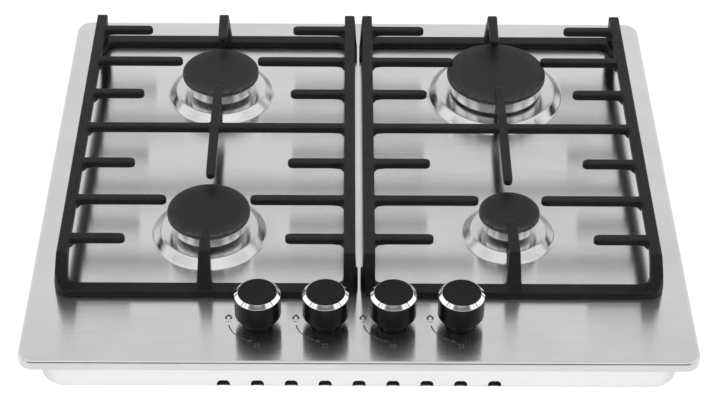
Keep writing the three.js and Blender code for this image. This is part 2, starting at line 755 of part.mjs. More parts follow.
function valveBody() {
  const barrel = cylinder(VALVE_RADIUS, VALVE_BOTTOM, VALVE_TOP, MORE_SIDES);
  const ears = new THREE.Shape();
  ears.absarc(VALVE_COVER_REACH, 0, VALVE_COVER_EAR, -Math.PI / 2, Math.PI / 2);
  ears.absarc(-VALVE_COVER_REACH, 0, VALVE_COVER_EAR, Math.PI / 2, 1.5 * Math.PI);
  const cover = slab(ears, VALVE_TOP - VALVE_COVER, VALVE_TOP, 0, 1, 2);
  const inside = VALVE_RADIUS - VALVE_WALL;
  const inlet = cylinder(RAIL_BOSS_RADIUS, inside, VALVE_RADIUS + OVERRUN, FEW_SIDES);
  inlet.rotateX(Math.PI / 2);
  const outlet = cylinder(OUTLET_RADIUS, inside, VALVE_RADIUS + OUTLET_LENGTH, FEW_SIDES);
  outlet.rotateX(-Math.PI / 2);
  const chamberTop = PLUG_TOP + SEAT;
  const chamberFoot = PLUG_TOP - PLUG_LENGTH - SEAT;
  const wide = PLUG_TOP_RADIUS + PLUG_CLEARANCE;
  const chamberProfile = [
    [0, chamberFoot],
    [wide - PLUG_TAPER, chamberFoot],
    [wide, chamberTop],
    [0, chamberTop],
  ];
  const chamber = revolve(chamberProfile, PLUG_SIDES);
  const bore = SPINDLE_RADIUS + SPINDLE_CLEARANCE;
  const neck = cylinder(bore, PLUG_TOP, VALVE_TOP + OVERRUN, SPINDLE_SIDES);
  return joined(
    solid(barrel),
    solid(cover),
    solid(inlet.translate(0, 0, RAIL_LEVEL)),
    solid(outlet.translate(0, 0, PIPE_LEVEL))
  )
    .subtract(solid(chamber))
    .subtract(solid(neck));
}

// ---------------------------------------------------------------- gas rail, inlet and pipes

function gasRail() {
  const y = KNOB_ROW_Y - RAIL_SETBACK;
  const side = railSideX();
  const start = KNOB_X[0] - RAIL_OVERRUN;
  const turnX = side - RAIL_BEND_RADIUS;
  const turnY = y + RAIL_BEND_RADIUS;
  const end = PAN_LENGTH / 2 - PAN_SHEET - INLET_HEX_LENGTH - 2 * SEAT;
  const bend = new THREE.QuadraticBezierCurve3(
    new THREE.Vector3(turnX - SEAT, y, 0),
    new THREE.Vector3(side, y, 0),
    new THREE.Vector3(side, turnY + SEAT, 0)
  );
  const along = cylinder(RAIL_RADIUS, start, turnX, SOME_SIDES);
  along.rotateY(Math.PI / 2).translate(0, y, 0);
  const back = cylinder(RAIL_RADIUS, turnY, end, SOME_SIDES);
  back.rotateX(-Math.PI / 2).translate(side, 0, 0);
  let rail = joined(solid(along), solid(extrudeAlong(circle(RAIL_RADIUS), bend, 5, 4)), solid(back));
  for (const x of KNOB_X) {
    const reach = RAIL_SETBACK - VALVE_RADIUS - OVERRUN - SEAT;
    const boss = cylinder(RAIL_BOSS_RADIUS, 0, reach, FEW_SIDES).rotateX(-Math.PI / 2);
    rail = rail.add(solid(boss.translate(x, y, 0)));
  }
  return rail;
}

function gasInlet() {
  const wall = PAN_LENGTH / 2;
  const hex = cylinder(INLET_HEX_RADIUS, 0, INLET_HEX_LENGTH, FEW_SIDES).rotateX(-Math.PI / 2);
  hex.translate(0, wall - PAN_SHEET - SEAT - INLET_HEX_LENGTH, 0);
  const nipple = cylinder(INLET_RADIUS, 0, INLET_HEX_LENGTH + INLET_REACH, MORE_SIDES);
  nipple.rotateX(-Math.PI / 2).translate(0, wall - INLET_HEX_LENGTH, 0);
  const bore = cylinder(INLET_RADIUS - INLET_WALL, 0, INLET_REACH, SOME_SIDES);
  bore.rotateX(-Math.PI / 2).translate(0, wall + OVERRUN, 0);
  return joined(solid(hex), solid(nipple)).subtract(solid(bore));
}

// A bent pipe with a nut at each end, from a valve's outlet to the front of a jet holder.
function gasPipe(burner, knobX) {
  const start = new THREE.Vector3(knobX, KNOB_ROW_Y + VALVE_RADIUS + OUTLET_LENGTH + SEAT, 0);
  const end = new THREE.Vector3(burner.x, burner.y - HOLDER_RADIUS - SEAT, 0);
  const sweep = new THREE.Vector3(0, (end.y - start.y) * PIPE_SWEEP, 0);
  const route = new THREE.CubicBezierCurve3(start, start.clone().add(sweep), end.clone().sub(sweep), end);
  const steps = burner.row > 0 ? 10 : 5;
  const pipe = extrudeAlong(circle(PIPE_RADIUS), route, steps, FEW_SIDES / 2);
  const near = cylinder(PIPE_NUT_RADIUS, 0, PIPE_NUT_LENGTH, FEW_SIDES).rotateX(-Math.PI / 2);
  const far = cylinder(PIPE_NUT_RADIUS, 0, PIPE_NUT_LENGTH, FEW_SIDES).rotateX(Math.PI / 2);
  return joined(
    solid(pipe),
    solid(near.translate(start.x, start.y, 0)),
    solid(far.translate(end.x, end.y, 0))
  );
}

function sparkGenerator() {
  const housing = roundedRectangle(SPARK_WIDTH, SPARK_DEPTH, SPARK_CORNER_RADIUS);
  let unit = solid(slab(housing, 0, SPARK_HEIGHT, SPARK_EDGE, 1, 1));
  for (let i = 0; i < SPARK_TERMINAL_COUNT; i += 1) {
    const x = (i - (SPARK_TERMINAL_COUNT - 1) / 2) * SPARK_TERMINAL_PITCH;
    const length = SPARK_TERMINAL_LENGTH + OVERRUN;
    const stub = cylinder(SPARK_TERMINAL_RADIUS, 0, length, FEW_SIDES).rotateX(Math.PI / 2);
    unit = unit.add(solid(stub.translate(x, OVERRUN - SPARK_DEPTH / 2, SPARK_HEIGHT / 2)));
  }
  return unit;
}

// ---------------------------------------------------------------- pan supports

const GRATE_UNDER = GRATE_TOP - GRATE_RAIL_DEPTH;

// Half width of the web from the burner axis to the inner faces of its outer and inner rails.
function grateSides(side) {
  const innerFace = GRATE_GAP / 2;
  const outerFace = innerFace + GRATE_WIDTH;
  return side > 0 ? { left: innerFace, right: outerFace } : { left: -outerFace, right: -innerFace };
}

function fingerEnd(shape, rootX, tipX, y, way) {
  // Draws one finger from its rail, starting on the side that the outline reaches first.
  const half = FINGER_WIDTH / 2;
  const out = Math.sign(tipX - rootX);
  const fillet = FINGER_FILLET;
  shape.lineTo(rootX, y - way * (half + fillet));
  shape.quadraticCurveTo(rootX, y - way * half, rootX + out * fillet, y - way * half);
  shape.lineTo(tipX - out * half, y - way * half);
  const from = (-way * Math.PI) / 2;
  const clockwise = out * way < 0;
  shape.absarc(tipX - out * half, y, half, from, -from, clockwise);
  shape.lineTo(rootX + out * fillet, y + way * half);
  shape.quadraticCurveTo(rootX, y + way * half, rootX, y + way * (half + fillet));
}

// The top web in plan: two rails, the cross bar with its lengthwise finger, and the side fingers.
function grateWeb(side) {
  const { left, right } = grateSides(side);
  const innerLeft = left + RAIL_TOP_WIDTH;
  const innerRight = right - RAIL_TOP_WIDTH;
  const axis = side * BURNER_X;
  const front = BURNERS.find((burner) => burner.side === side && burner.row < 0);
  const back = BURNERS.find((burner) => burner.side === side && burner.row > 0);
  const middle = GRATE_MIDDLE_Y;
  const bar = FINGER_WIDTH / 2;
  const reachOf = (row) => {
    if (Math.abs(row) !== 2) return FINGER_SHORT_GAP;
    return row < 0 ? front.reach.sides : back.reach.sides;
  };
  const shape = new THREE.Shape();
  shape.moveTo(left, middle - GRATE_HALF);
  shape.lineTo(innerLeft, middle - GRATE_HALF);
  for (const row of [-3, -2, -1]) {
    fingerEnd(shape, innerLeft, axis - reachOf(row), middle + row * FINGER_PITCH, 1);
  }
  crossBarEdge(shape, innerLeft, innerRight, axis, middle - bar, front.y + front.reach.bar, 1);
  for (const row of [-1, -2, -3]) {
    fingerEnd(shape, innerRight, axis + reachOf(row), middle + row * FINGER_PITCH, -1);
  }
  shape.lineTo(innerRight, middle - GRATE_HALF);
  shape.lineTo(right, middle - GRATE_HALF);
  shape.lineTo(right, middle + GRATE_HALF);
  shape.lineTo(innerRight, middle + GRATE_HALF);
  for (const row of [3, 2, 1]) {
    fingerEnd(shape, innerRight, axis + reachOf(row), middle + row * FINGER_PITCH, -1);
  }
  crossBarEdge(shape, innerRight, innerLeft, axis, middle + bar, back.y - back.reach.bar, -1);
  for (const row of [1, 2, 3]) {
    fingerEnd(shape, innerLeft, axis - reachOf(row), middle + row * FINGER_PITCH, 1);
  }
  shape.lineTo(innerLeft, middle + GRATE_HALF);
  shape.lineTo(left, middle + GRATE_HALF);
  shape.closePath();
  const under = GRATE_TOP - FINGER_DEPTH;
  const web = solid(slab(shape, under - GRATE_EDGE, GRATE_TOP, GRATE_EDGE, 1, 2));
  return web.subtract(solid(box(BOX_CUT, BOX_CUT, 2 * GRATE_EDGE).translate(0, 0, under - GRATE_EDGE)));
}

// One edge of the cross bar, with the half of the lengthwise finger that leaves it.
function crossBarEdge(shape, fromX, toX, axis, y, tipY, way) {
  const half = FINGER_WIDTH / 2;
  const fillet = FINGER_FILLET;
  const out = -way;
  shape.lineTo(fromX, y + out * fillet);
  shape.quadraticCurveTo(fromX, y, fromX + way * fillet, y);
  shape.lineTo(axis - way * (half + fillet), y);
  shape.quadraticCurveTo(axis - way * half, y, axis - way * half, y + out * fillet);
  shape.lineTo(axis - way * half, tipY - out * half);
  const from = way > 0 ? Math.PI : 0;
  shape.absarc(axis, tipY - out * half, half, from, from + Math.PI, false);
  shape.lineTo(axis + way * half, y + out * fillet);
  shape.quadraticCurveTo(axis + way * half, y, axis + way * (half + fillet), y);
  shape.lineTo(toX - way * fillet, y);
  shape.quadraticCurveTo(toX, y, toX, y + out * fillet);
}

// A rail with a leg at each end, seen from the side.
function railOutline() {
  const shape = new THREE.Shape();
  const foot = GRATE_BAR_HEIGHT / 2;
  const lean = (GRATE_BASE_HALF - GRATE_HALF) / (GRATE_TOP - foot);
  const inner = GRATE_HALF + lean * GRATE_RAIL_DEPTH - LEG_THICKNESS;
  const innerFoot = GRATE_BASE_HALF - LEG_THICKNESS;
  shape.moveTo(-GRATE_HALF + GRATE_EDGE, GRATE_TOP - GRATE_EDGE);
  for (const end of [-1, 1]) {
    const corners = [
      [GRATE_HALF, GRATE_TOP - GRATE_EDGE],
      [GRATE_BASE_HALF, foot],
      [innerFoot, foot],
      [inner + lean * LEG_FILLET, GRATE_UNDER - LEG_FILLET],
    ];
    if (end > 0) corners.reverse();
    if (end > 0) shape.quadraticCurveTo(inner, GRATE_UNDER, end * corners[0][0], corners[0][1]);
    for (const [y, z] of corners) shape.lineTo(end * y, z);
    if (end < 0) {
      shape.quadraticCurveTo(-inner, GRATE_UNDER, LEG_FILLET - inner, GRATE_UNDER);
      shape.lineTo(inner - LEG_FILLET, GRATE_UNDER);
    }
  }
  shape.closePath();
  return shape;
}

// The post at one end of the burners' axis: a finger that leans down to the base bar.
function postOutline(length, bend) {
  const shape = new THREE.Shape();
  const foot = GRATE_BAR_HEIGHT / 2;
  const lean = (GRATE_BASE_HALF - bend) / (GRATE_TOP - foot);
  const tip = GRATE_HALF - length;
  const under = GRATE_TOP - FINGER_DEPTH;
  const inner = bend + lean * GRATE_RAIL_DEPTH - LEG_THICKNESS;
  shape.moveTo(bend, GRATE_TOP);
  shape.lineTo(tip, GRATE_TOP);
  shape.lineTo(tip, under);
  shape.lineTo(inner - LEG_FILLET, under);
  shape.quadraticCurveTo(inner, under, inner + lean * LEG_FILLET, under - LEG_FILLET);
  shape.lineTo(GRATE_BASE_HALF - LEG_THICKNESS, foot);
  shape.lineTo(GRATE_BASE_HALF, foot);
  shape.closePath();
  return shape;
}

// Seen from above: the post grows a little wider from the round end of its finger to its root.
function postPlan(length) {
  const half = FINGER_WIDTH / 2;
  const tip = GRATE_HALF - length;
  const shape = new THREE.Shape();
  shape.absarc(0, tip + half, half, Math.PI, 2 * Math.PI);
  shape.lineTo(POST_ROOT_WIDTH / 2, GRATE_BASE_HALF);
  shape.lineTo(-POST_ROOT_WIDTH / 2, GRATE_BASE_HALF);
  shape.closePath();
  return shape;
}

function gratePost(length, bend) {
  const profile = solid(sideSlab(postOutline(length, bend), 2 * FINGER_WIDTH, 2));
  const plan = solid(slab(postPlan(length), -GRATE_TOP, GRATE_TOP, GRATE_EDGE, 1, 2));
  return geometryOf(profile.intersect(plan));
}

function widen(point) {
  const drop = Math.max(0, GRATE_TOP - FINGER_DEPTH - point.z);
  point.x *= 1 + (POST_FLARE * drop) / (GRATE_TOP - FINGER_DEPTH);
}

// The web deepens where each finger leaves its rail.
function fingerRoot(rootX, out, y) {
  const shape = new THREE.Shape();
  const above = GRATE_TOP - FINGER_DEPTH + OVERRUN;
  const under = GRATE_TOP - FINGER_DEPTH;
  shape.moveTo(-OVERRUN, above);
  shape.lineTo(-OVERRUN, under - FINGER_ROOT_DROP);
  shape.lineTo(0, under - FINGER_ROOT_DROP);
  shape.quadraticCurveTo(OVERRUN, under, FINGER_ROOT_RUN, above - FINGER_ROOT_LIP);
  shape.lineTo(FINGER_ROOT_RUN, above);
  shape.closePath();
  const width = FINGER_WIDTH - 2 * GRATE_EDGE;
  const root = new THREE.ExtrudeGeometry(shape, { depth: width, bevelEnabled: false, curveSegments: 2 });
  root.translate(0, 0, -width / 2).rotateX(Math.PI / 2);
  if (out < 0) root.rotateZ(Math.PI);
  return solid(root.translate(rootX, y, 0));
}

// The foot of the frame at one end: a bar with rounded corners that runs on into two tapered tails.
function grateFoot(side, end) {
  const { left, right } = grateSides(side);
  const flareLeft = side > 0 ? GRATE_FLARE_INNER : GRATE_FLARE_OUTER;
  const flareRight = side > 0 ? GRATE_FLARE_OUTER : GRATE_FLARE_INNER;
  const x0 = left - flareLeft;
  const x1 = right + flareRight;
  const edge = GRATE_BASE_HALF;
  const radius = GRATE_BASE_RADIUS;
  const inner = edge - GRATE_BAR_WIDTH;
  const wall = LEG_THICKNESS;
  const bend = radius - wall / 2;
  const shape = new THREE.Shape();
  shape.moveTo(x0, edge - GRATE_TAIL);
  shape.lineTo(x0 + GRATE_TAIL_TIP, edge - GRATE_TAIL);
  shape.lineTo(x0 + wall, inner - bend);
  shape.quadraticCurveTo(x0 + wall, inner, x0 + wall + bend, inner);
  shape.lineTo(x1 - wall - bend, inner);
  shape.quadraticCurveTo(x1 - wall, inner, x1 - wall, inner - bend);
  shape.lineTo(x1 - GRATE_TAIL_TIP, edge - GRATE_TAIL);
  shape.lineTo(x1, edge - GRATE_TAIL);
  shape.absarc(x1 - radius, edge - radius, radius, 0, Math.PI / 2);
  shape.absarc(x0 + radius, edge - radius, radius, Math.PI / 2, Math.PI);
  shape.closePath();
  const foot = slab(shape, SEAT, GRATE_BAR_HEIGHT, 0, 1, 2);
  if (end < 0) foot.rotateX(Math.PI).translate(0, 0, GRATE_BAR_HEIGHT + SEAT);
  return solid(foot.translate(0, GRATE_MIDDLE_Y, 0));
}

// The whole casting's outline in plan: its corner legs turn with the rounded corners of its feet.
function grateOutline(side) {
  const { left, right } = grateSides(side);
  const x0 = left - (side > 0 ? GRATE_FLARE_INNER : GRATE_FLARE_OUTER);
  const x1 = right + (side > 0 ? GRATE_FLARE_OUTER : GRATE_FLARE_INNER);
  const outline = roundedRectangle(x1 - x0, 2 * GRATE_BASE_HALF, GRATE_BASE_RADIUS);
  const prism = slab(outline, 0, GRATE_TOP + OVERRUN, 0, 1, 3);
  return solid(prism.translate((x0 + x1) / 2, GRATE_MIDDLE_Y, 0));
}

function grate(side) {
  const { left, right } = grateSides(side);
  const axis = side * BURNER_X;
  const middle = GRATE_MIDDLE_Y;
  let frame = grateWeb(side);
  const drop = GRATE_TOP - GRATE_RAIL_DEPTH / 2;
  for (const [face, out, flare] of [
    [left, -1, side > 0 ? GRATE_FLARE_INNER : GRATE_FLARE_OUTER],
    [right, 1, side > 0 ? GRATE_FLARE_OUTER : GRATE_FLARE_INNER],
  ]) {
    const rail = sideSlab(railOutline(), RAIL_TOP_WIDTH, 2);
    rail.translate(face - (out * RAIL_TOP_WIDTH) / 2, middle, 0);
    warp(rail, (point) => {
      const fromInside = Math.abs(point.x - face) > RAIL_TOP_WIDTH / 2;
      const spread = fromInside ? flare - LEG_GROWTH : flare;
      point.x += (out * spread * Math.max(0, drop - point.z)) / drop;
    });
    frame = frame.add(solid(rail));
  }
  for (const end of [-1, 1]) {
    const burner = BURNERS.find((one) => one.side === side && one.row === end);
    const outer = middle + end * GRATE_HALF;
    const length = Math.abs(outer - burner.y) - burner.reach.post;
    const bend = GRATE_HALF - (end < 0 ? FRONT_POST_INSET : 0);
    const post = warp(gratePost(length, bend), widen);
    if (end < 0) post.rotateZ(Math.PI);
    frame = frame.add(solid(post.translate(axis, middle, 0)));
    frame = frame.add(grateFoot(side, end));
    for (const row of [1, 2, 3]) {
      const y = middle + end * row * FINGER_PITCH;
      frame = frame.add(fingerRoot(left + RAIL_TOP_WIDTH, 1, y));
      frame = frame.add(fingerRoot(right - RAIL_TOP_WIDTH, -1, y));
    }
  }
  frame = frame.add(fingerRoot(left + RAIL_TOP_WIDTH, 1, middle));
  frame = frame.add(fingerRoot(right - RAIL_TOP_WIDTH, -1, middle));
  return frame.intersect(grateOutline(side));
}

// ---------------------------------------------------------------- assembly

addPart("hob_top", hobTop(), "brushedSteel");
addPart("base_pan", basePan(), "galvanised");
addPart("edge_seal", edgeSeal(), "foam");
for (const side of [-1, 1]) {
  for (const row of [-1, 1]) {
    const name = `clamp_${row < 0 ? "front" : "back"}_${side < 0 ? "left" : "right"}`;
    addPart(name, clamp(side), "steel", side * (PAN_WIDTH / 2 + SEAT), (row * CLAMP_SPACING) / 2, 0);
  }
}
addPart("gas_rail", gasRail(), "steel", 0, 0, PLATE_TOP + RAIL_LEVEL);
addPart("gas_inlet", gasInlet(), "brass", railSideX(), 0, PLATE_TOP + RAIL_LEVEL);
addPart("spark_generator", sparkGenerator(), "boxPlastic", 0, SPARK_Y, PAN_SHEET + SEAT);

BURNERS.forEach((burner, i) => {
  const { name, x, y } = burner;
  addPart(`burner_base_${name}`, burnerBase(burner), "castAluminium", x, y, PLATE_TOP);
  addPart(`burner_crown_${name}`, burnerCrown(burner), "aluminium", x, y, PLATE_TOP);
  addPart(`burner_cap_${name}`, burnerCap(burner), "capEnamel", x, y, PLATE_TOP);
  addPart(`jet_${name}`, jet(), "brass", x, y, PLATE_TOP);
  addPart(`electrode_${name}`, electrode(), "ceramic", ...probePosition(burner, ELECTRODE_ANGLE), PLATE_TOP);
  addPart(`flame_sensor_${name}`, flameSensor(), "copper", ...probePosition(burner, SENSOR_ANGLE), PLATE_TOP);
  addPart(`gas_pipe_${name}`, gasPipe(burner, KNOB_X[i]), "aluminium", 0, 0, PLATE_TOP + PIPE_LEVEL);
  addPart(`valve_${name}`, valveBody(), "castAluminium", KNOB_X[i], KNOB_ROW_Y, PLATE_TOP);
  addPart(`valve_plug_${name}`, plug(), "brass", KNOB_X[i], KNOB_ROW_Y, PLATE_TOP);
  addPart(`spindle_${name}`, spindle(), "steel", KNOB_X[i], KNOB_ROW_Y, PLATE_TOP);
  addPart(`knob_${name}`, knobBody(), "knobPlastic", KNOB_X[i], KNOB_ROW_Y, PLATE_TOP);
  addPart(`knob_ring_${name}`, knobRing(), "chrome", KNOB_X[i], KNOB_ROW_Y, PLATE_TOP);
});

for (const side of [-1, 1]) {
  addPart(side < 0 ? "grate_left" : "grate_right", grate(side), "castEnamel", 0, 0, PLATE_TOP);
}

export default hob;
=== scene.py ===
"""The looks of a built-in gas hob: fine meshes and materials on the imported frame, in metres.

Pieces are drawn in millimetres and made with the scale MM. Heights named "above the plate" count
from the plate's top face.
"""

import math

import bmesh
import bpy
from mathutils import Matrix, Vector

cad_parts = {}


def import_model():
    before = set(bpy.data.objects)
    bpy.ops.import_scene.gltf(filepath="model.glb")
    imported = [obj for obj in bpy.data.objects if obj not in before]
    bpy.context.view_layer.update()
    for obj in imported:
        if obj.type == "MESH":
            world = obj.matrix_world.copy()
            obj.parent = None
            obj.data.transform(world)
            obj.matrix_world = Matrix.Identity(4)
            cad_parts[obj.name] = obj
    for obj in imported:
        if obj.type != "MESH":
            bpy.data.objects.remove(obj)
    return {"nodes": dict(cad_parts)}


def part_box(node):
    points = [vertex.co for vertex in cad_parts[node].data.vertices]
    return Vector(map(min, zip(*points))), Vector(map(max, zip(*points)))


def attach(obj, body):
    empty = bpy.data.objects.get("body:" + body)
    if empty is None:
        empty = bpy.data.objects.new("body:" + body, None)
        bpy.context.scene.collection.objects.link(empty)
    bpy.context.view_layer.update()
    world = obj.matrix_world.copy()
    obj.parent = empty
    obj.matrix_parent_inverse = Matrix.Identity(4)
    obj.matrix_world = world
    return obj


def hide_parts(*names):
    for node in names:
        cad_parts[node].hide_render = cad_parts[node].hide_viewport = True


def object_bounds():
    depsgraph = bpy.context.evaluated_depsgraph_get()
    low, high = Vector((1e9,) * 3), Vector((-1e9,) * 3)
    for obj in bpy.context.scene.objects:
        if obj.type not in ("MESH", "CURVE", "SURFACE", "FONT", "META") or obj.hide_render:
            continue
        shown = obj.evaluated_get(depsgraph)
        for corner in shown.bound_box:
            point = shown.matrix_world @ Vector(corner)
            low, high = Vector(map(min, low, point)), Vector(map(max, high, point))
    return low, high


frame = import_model()
cad_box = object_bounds()

MM = 0.001


# ---------------- sizes taken from the frame


def box_mm(node):
    low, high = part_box(node)
    return low / MM, high / MM


def centre_mm(node):
    low, high = box_mm(node)
    return (low + high) / 2


BURNERS = ("front_left", "back_left", "back_right", "front_right")
BOSS_HEIGHT = 6.5
PLATE_SHEET = 1.0
PLATE_LOW, PLATE_HIGH = box_mm("hob_top")
PLATE_TOP = PLATE_HIGH.z - BOSS_HEIGHT
PLATE_WIDTH = PLATE_HIGH.x - PLATE_LOW.x
PLATE_DEPTH = PLATE_HIGH.y - PLATE_LOW.y
PLATE_LIP = PLATE_TOP - PLATE_LOW.z
PLATE_CORNER_RADIUS = 14
PLATE_BEND_RADIUS = 2.5

# Narrow rings of faces that keep the sheet flat beside its bend and its holes.
BEND_MARGIN = 1
HUB_HOLE_MARGIN = 1
KNOB_HOLE_MARGIN = 0.5

# Pressed bosses.
BOSS_SLOPE = 8
BOSS_EDGE = 1.6
HUB_CLEARANCE = 1

# How many sides the widest turned shapes have.
FINE_SIDES = 128

# Burners, heights above the plate.
SEAT = 0.3
CAP_TOP = 27.6
CAP_THICKNESS = 3.2
CAP_SHOULDER = 1.6
CAP_OVERHANG = 3.4
CAP_DRIP = 1.4
CAP_DRIP_WIDTH = 2
CAP_DRIP_ROUND = 0.6
CAP_DRIP_LEAN = 0.2
CAP_SPIGOT_DEPTH = 2.4
CAP_INNER_SHARE = 0.6
SPIGOT_CLEARANCE = 1.2
CROWN_STEP = 0.8
CROWN_WALL = 4
CROWN_LIFT = 3.2
CROWN_FLOOR = 2.4
CROWN_THROAT_RADIUS = 7.6
CROWN_BASE_INSET = 6.5
CROWN_FOOT_EDGE = 0.5
CROWN_BAND_TOP = 20
CROWN_BAND_EDGE = 0.3
PORT_SILL = 0.8
STEPS_PER_PORT = 4
MERGE_DISTANCE = 1e-4
SIZES = {
    "rapid": {"cap": 48.3, "boss": 66, "hub": 30, "foot": 9.5, "ports": 64},
    "semi": {"cap": 37.3, "boss": 51.5, "hub": 21, "foot": 11.2, "ports": 48},
    "small": {"cap": 27.4, "boss": 41.8, "hub": 12.6, "foot": 11.2, "ports": 32},
}
SIZE_OF = {
    "front_left": "semi",
    "back_left": "semi",
    "back_right": "rapid",
    "front_right": "small",
}

# Knobs, heights above the plate.
KNOB_RADIUS = 19.9
KNOB_TOP = 36.3
KNOB_SKIRT = 11.4
KNOB_FOOT_ROUND = 0.8
KNOB_NECK_RADIUS = 13
KNOB_NECK_DIP = 2
KNOB_NECK_FILLET = 1
KNOB_SOCKET_RADIUS = 4.3
KNOB_SOCKET_TOP = 17
KNOB_BEVEL = 3.5
KNOB_BEVEL_RUN = 3.1
KNOB_FACE_PROUD = 0.5
KNOB_FACE_GAP = 0.1
KNOB_SHELF_DROP = 0.8
KNOB_SHELF_EDGE = 0.2
NECK_CLEARANCE = 0.7

# The knob's face is a little hollow: how far in from its edge, or what share of it, and how deep.
FACE_EDGE_RUN, FACE_EDGE_DIP = 1.4, 0.05
FACE_MIDDLE_SHARE, FACE_MIDDLE_DIP = 0.5, 0.15
FACE_CENTRE_DIP = 0.2

# The knob's bright ring: its wall, its gap to the face and its softened edges.
RING_WALL = 0.35
RING_GAP = 0.05
RING_DEPTH = 0.5
RING_LOWER_EDGE = 0.15
RING_LAND_EDGE = 0.1
RING_BEVEL_EDGE = 0.12
RING_RIM_INSET = 0.22

# Base pan, its walls a little further out than the frame's, as in the photograph. Its vents are
# punched slantwise through the front's lower bend.
PAN_LOW, PAN_HIGH = box_mm("base_pan")
PAN_FLANGE = 4
PAN_GROWTH = 3.2
PAN_WIDTH = PAN_HIGH.x - PAN_LOW.x - 2 * PAN_FLANGE + 2 * PAN_GROWTH
PAN_LENGTH = PAN_HIGH.y - PAN_LOW.y - 2 * PAN_FLANGE + 2 * PAN_GROWTH
PAN_SHEET = 1
PAN_CORNER_RADIUS = 22
PAN_BEND_RADIUS = 5
PAN_FLANGE_BEND = 1.5
VENT_COUNT = 9
VENT_PITCH = 29.2
VENT_LENGTH = 11.3
VENT_RISE = 9.2
VENT_UNDERCUT = 2.7
VENT_CORNER_RADIUS = 3.3
VENT_CUT_OUT = 3
VENT_CUT_IN = 10
INLET_HOLE_RADIUS = 9

# Clamps: a strip on the pan's wall, folded outward into a lip, and a round-headed screw.
CLAMP_SHEET = 1.5
CLAMP_FOLD = 1.5
CLAMP_GAP = 0.05
CLAMP_LIP_RUN = 2.2
CLAMP_LIP_RISE = 1.6
CLAMP_EDGE_GAP = 0.2
SCREW_RADIUS = 3.4
SCREW_DOME_RADIUS = 1.8
SCREW_EDGE = 0.7
SCREW_LIFT = 3

# Electrodes and flame sensors, heights above the plate.
PROBE_SEAT = BOSS_HEIGHT + SEAT
PROBE_CLEARANCE = 0.5
ELECTRODE_RADIUS = 3
ELECTRODE_FOOT = -12
ELECTRODE_FOOT_EDGE = 0.6
ELECTRODE_FOOT_RISE = 0.8
ELECTRODE_COLLAR = 1.2
ELECTRODE_COLLAR_LEAN = 0.1
ELECTRODE_COLLAR_ROUND = 0.6
ELECTRODE_COLLAR_RISE = 0.9
ELECTRODE_COLLAR_HEIGHT = 1.9
ELECTRODE_SHOULDER = 10.5
ELECTRODE_SHOULDER_ROUND = 1
ELECTRODE_SHOULDER_DROP = 0.6
ELECTRODE_NECK = 0.9
ELECTRODE_TIP = 19
PIN_RADIUS = 0.9
PIN_SEAT = 0.1
PIN_BEND = 1.2
PIN_REACH = 0.9
PIN_POINT = 0.25
PIN_POINT_SHARE = 0.6
SENSOR_RADIUS = 2.2
SENSOR_FOOT = -16
SENSOR_SHANK = 0.2
SENSOR_TAPER_TOP = 1.6
SENSOR_STEM_INSET = 0.15
SENSOR_TIP = 18.5
SENSOR_TIP_RADIUS = 1.8
SENSOR_TIP_LENGTH = 4.4
SENSOR_TIP_STEP = 0.4
SENSOR_NUT_RADIUS = 4.2
SENSOR_NUT_HEIGHT = 2.5
SENSOR_NUT_EDGE = 0.35
SENSOR_NUT_BEVEL = 0.3

# Printed marks, from the middle of their knob.
INK_DEPTH = 0.05
INK_GAP = 0.01
FLAME_CURVE = ((-1.7, -3.0), (-4.2, -0.6), (-1.1, 0.9), (0, 3.1))
FLAME_STEPS = 8
FLAME_AT = (-25.8, 7.4)
FLAME_SCALE = 0.9
FLAME_LINE = 1.7
SMALL_FLAME_AT = (-6.7, -22.8)
SMALL_FLAME_SCALE = 0.5
SMALL_FLAME_LINE = 0.75
SPARK_AT = (-25.8, 1.7)
SPARK_HALF_WIDTH = 0.7
SPARK_HALF_TOP = 0.7
SPARK_TAIL = 1.3
SPARK_DOT_AT = (1.9, 0.3)
SPARK_DOT_RADIUS = 0.45
SWEEP_START = (25.4, 186.5)
SWEEP_END = (23.2, 247)
SWEEP_START_WIDTH = 1.25
SWEEP_END_WIDTH = 0.5
SWEEP_STEPS = 24
FOUR_DOTS_AT = (-0.2, -28.4)
DOT_PITCH_X = 2.9
DOT_PITCH_Y = 3.3
DOT_RADIUS = 0.95
DOT_LINE = 0.46
DOT_LINE_INSET = 0.22

# How the pan supports' edges are rounded.
CAST_GRAIN = 0.85
CAST_SOFTNESS = 0.5
CAST_ROUNDS = 3


# ---------------- mesh helpers


def in_metres(name, mesh):
    """Turns a bmesh drawn in millimetres into a mesh in metres, its faces outward."""
    bmesh.ops.recalc_face_normals(mesh, faces=mesh.faces)
    data = bpy.data.meshes.new(name)
    mesh.to_mesh(data)
    mesh.free()
    data.transform(Matrix.Scale(MM, 4))
    return data


def place_object(name, data):
    obj = bpy.data.objects.new(name, data)
    bpy.context.scene.collection.objects.link(obj)
    return obj


def piece(name, mesh, body, slot, material=None):
    """Makes a shown object of a bmesh, riding on a body of the frame.

    Its material is that of its slot, unless another is given.
    """
    obj = place_object(name, in_metres(name, mesh))
    obj.data.materials.append(material or MATERIALS[slot])
    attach(obj, body)
    return obj


def smooth(obj, sharp_angle=40):
    """Smooth shading that keeps the flats flat and the hard edges hard."""
    for face in obj.data.polygons:
        face.use_smooth = True
    obj.data.set_sharp_from_angle(angle=math.radians(sharp_angle))
    weighted = obj.modifiers.new("flat_faces", "WEIGHTED_NORMAL")
    weighted.keep_sharp = True
    return obj


def arc(cx, cy, radius, start, end, steps):
    """Points on an arc, angles in degrees."""
    points = []
    for i in range(steps + 1):
        angle = math.radians(start + (end - start) * i / steps)
        points.append((cx + radius * math.cos(angle), cy + radius * math.sin(angle)))
    return points


def circle(x, y, radius, steps):
    return arc(x, y, radius, 0, 360, steps)[:-1]


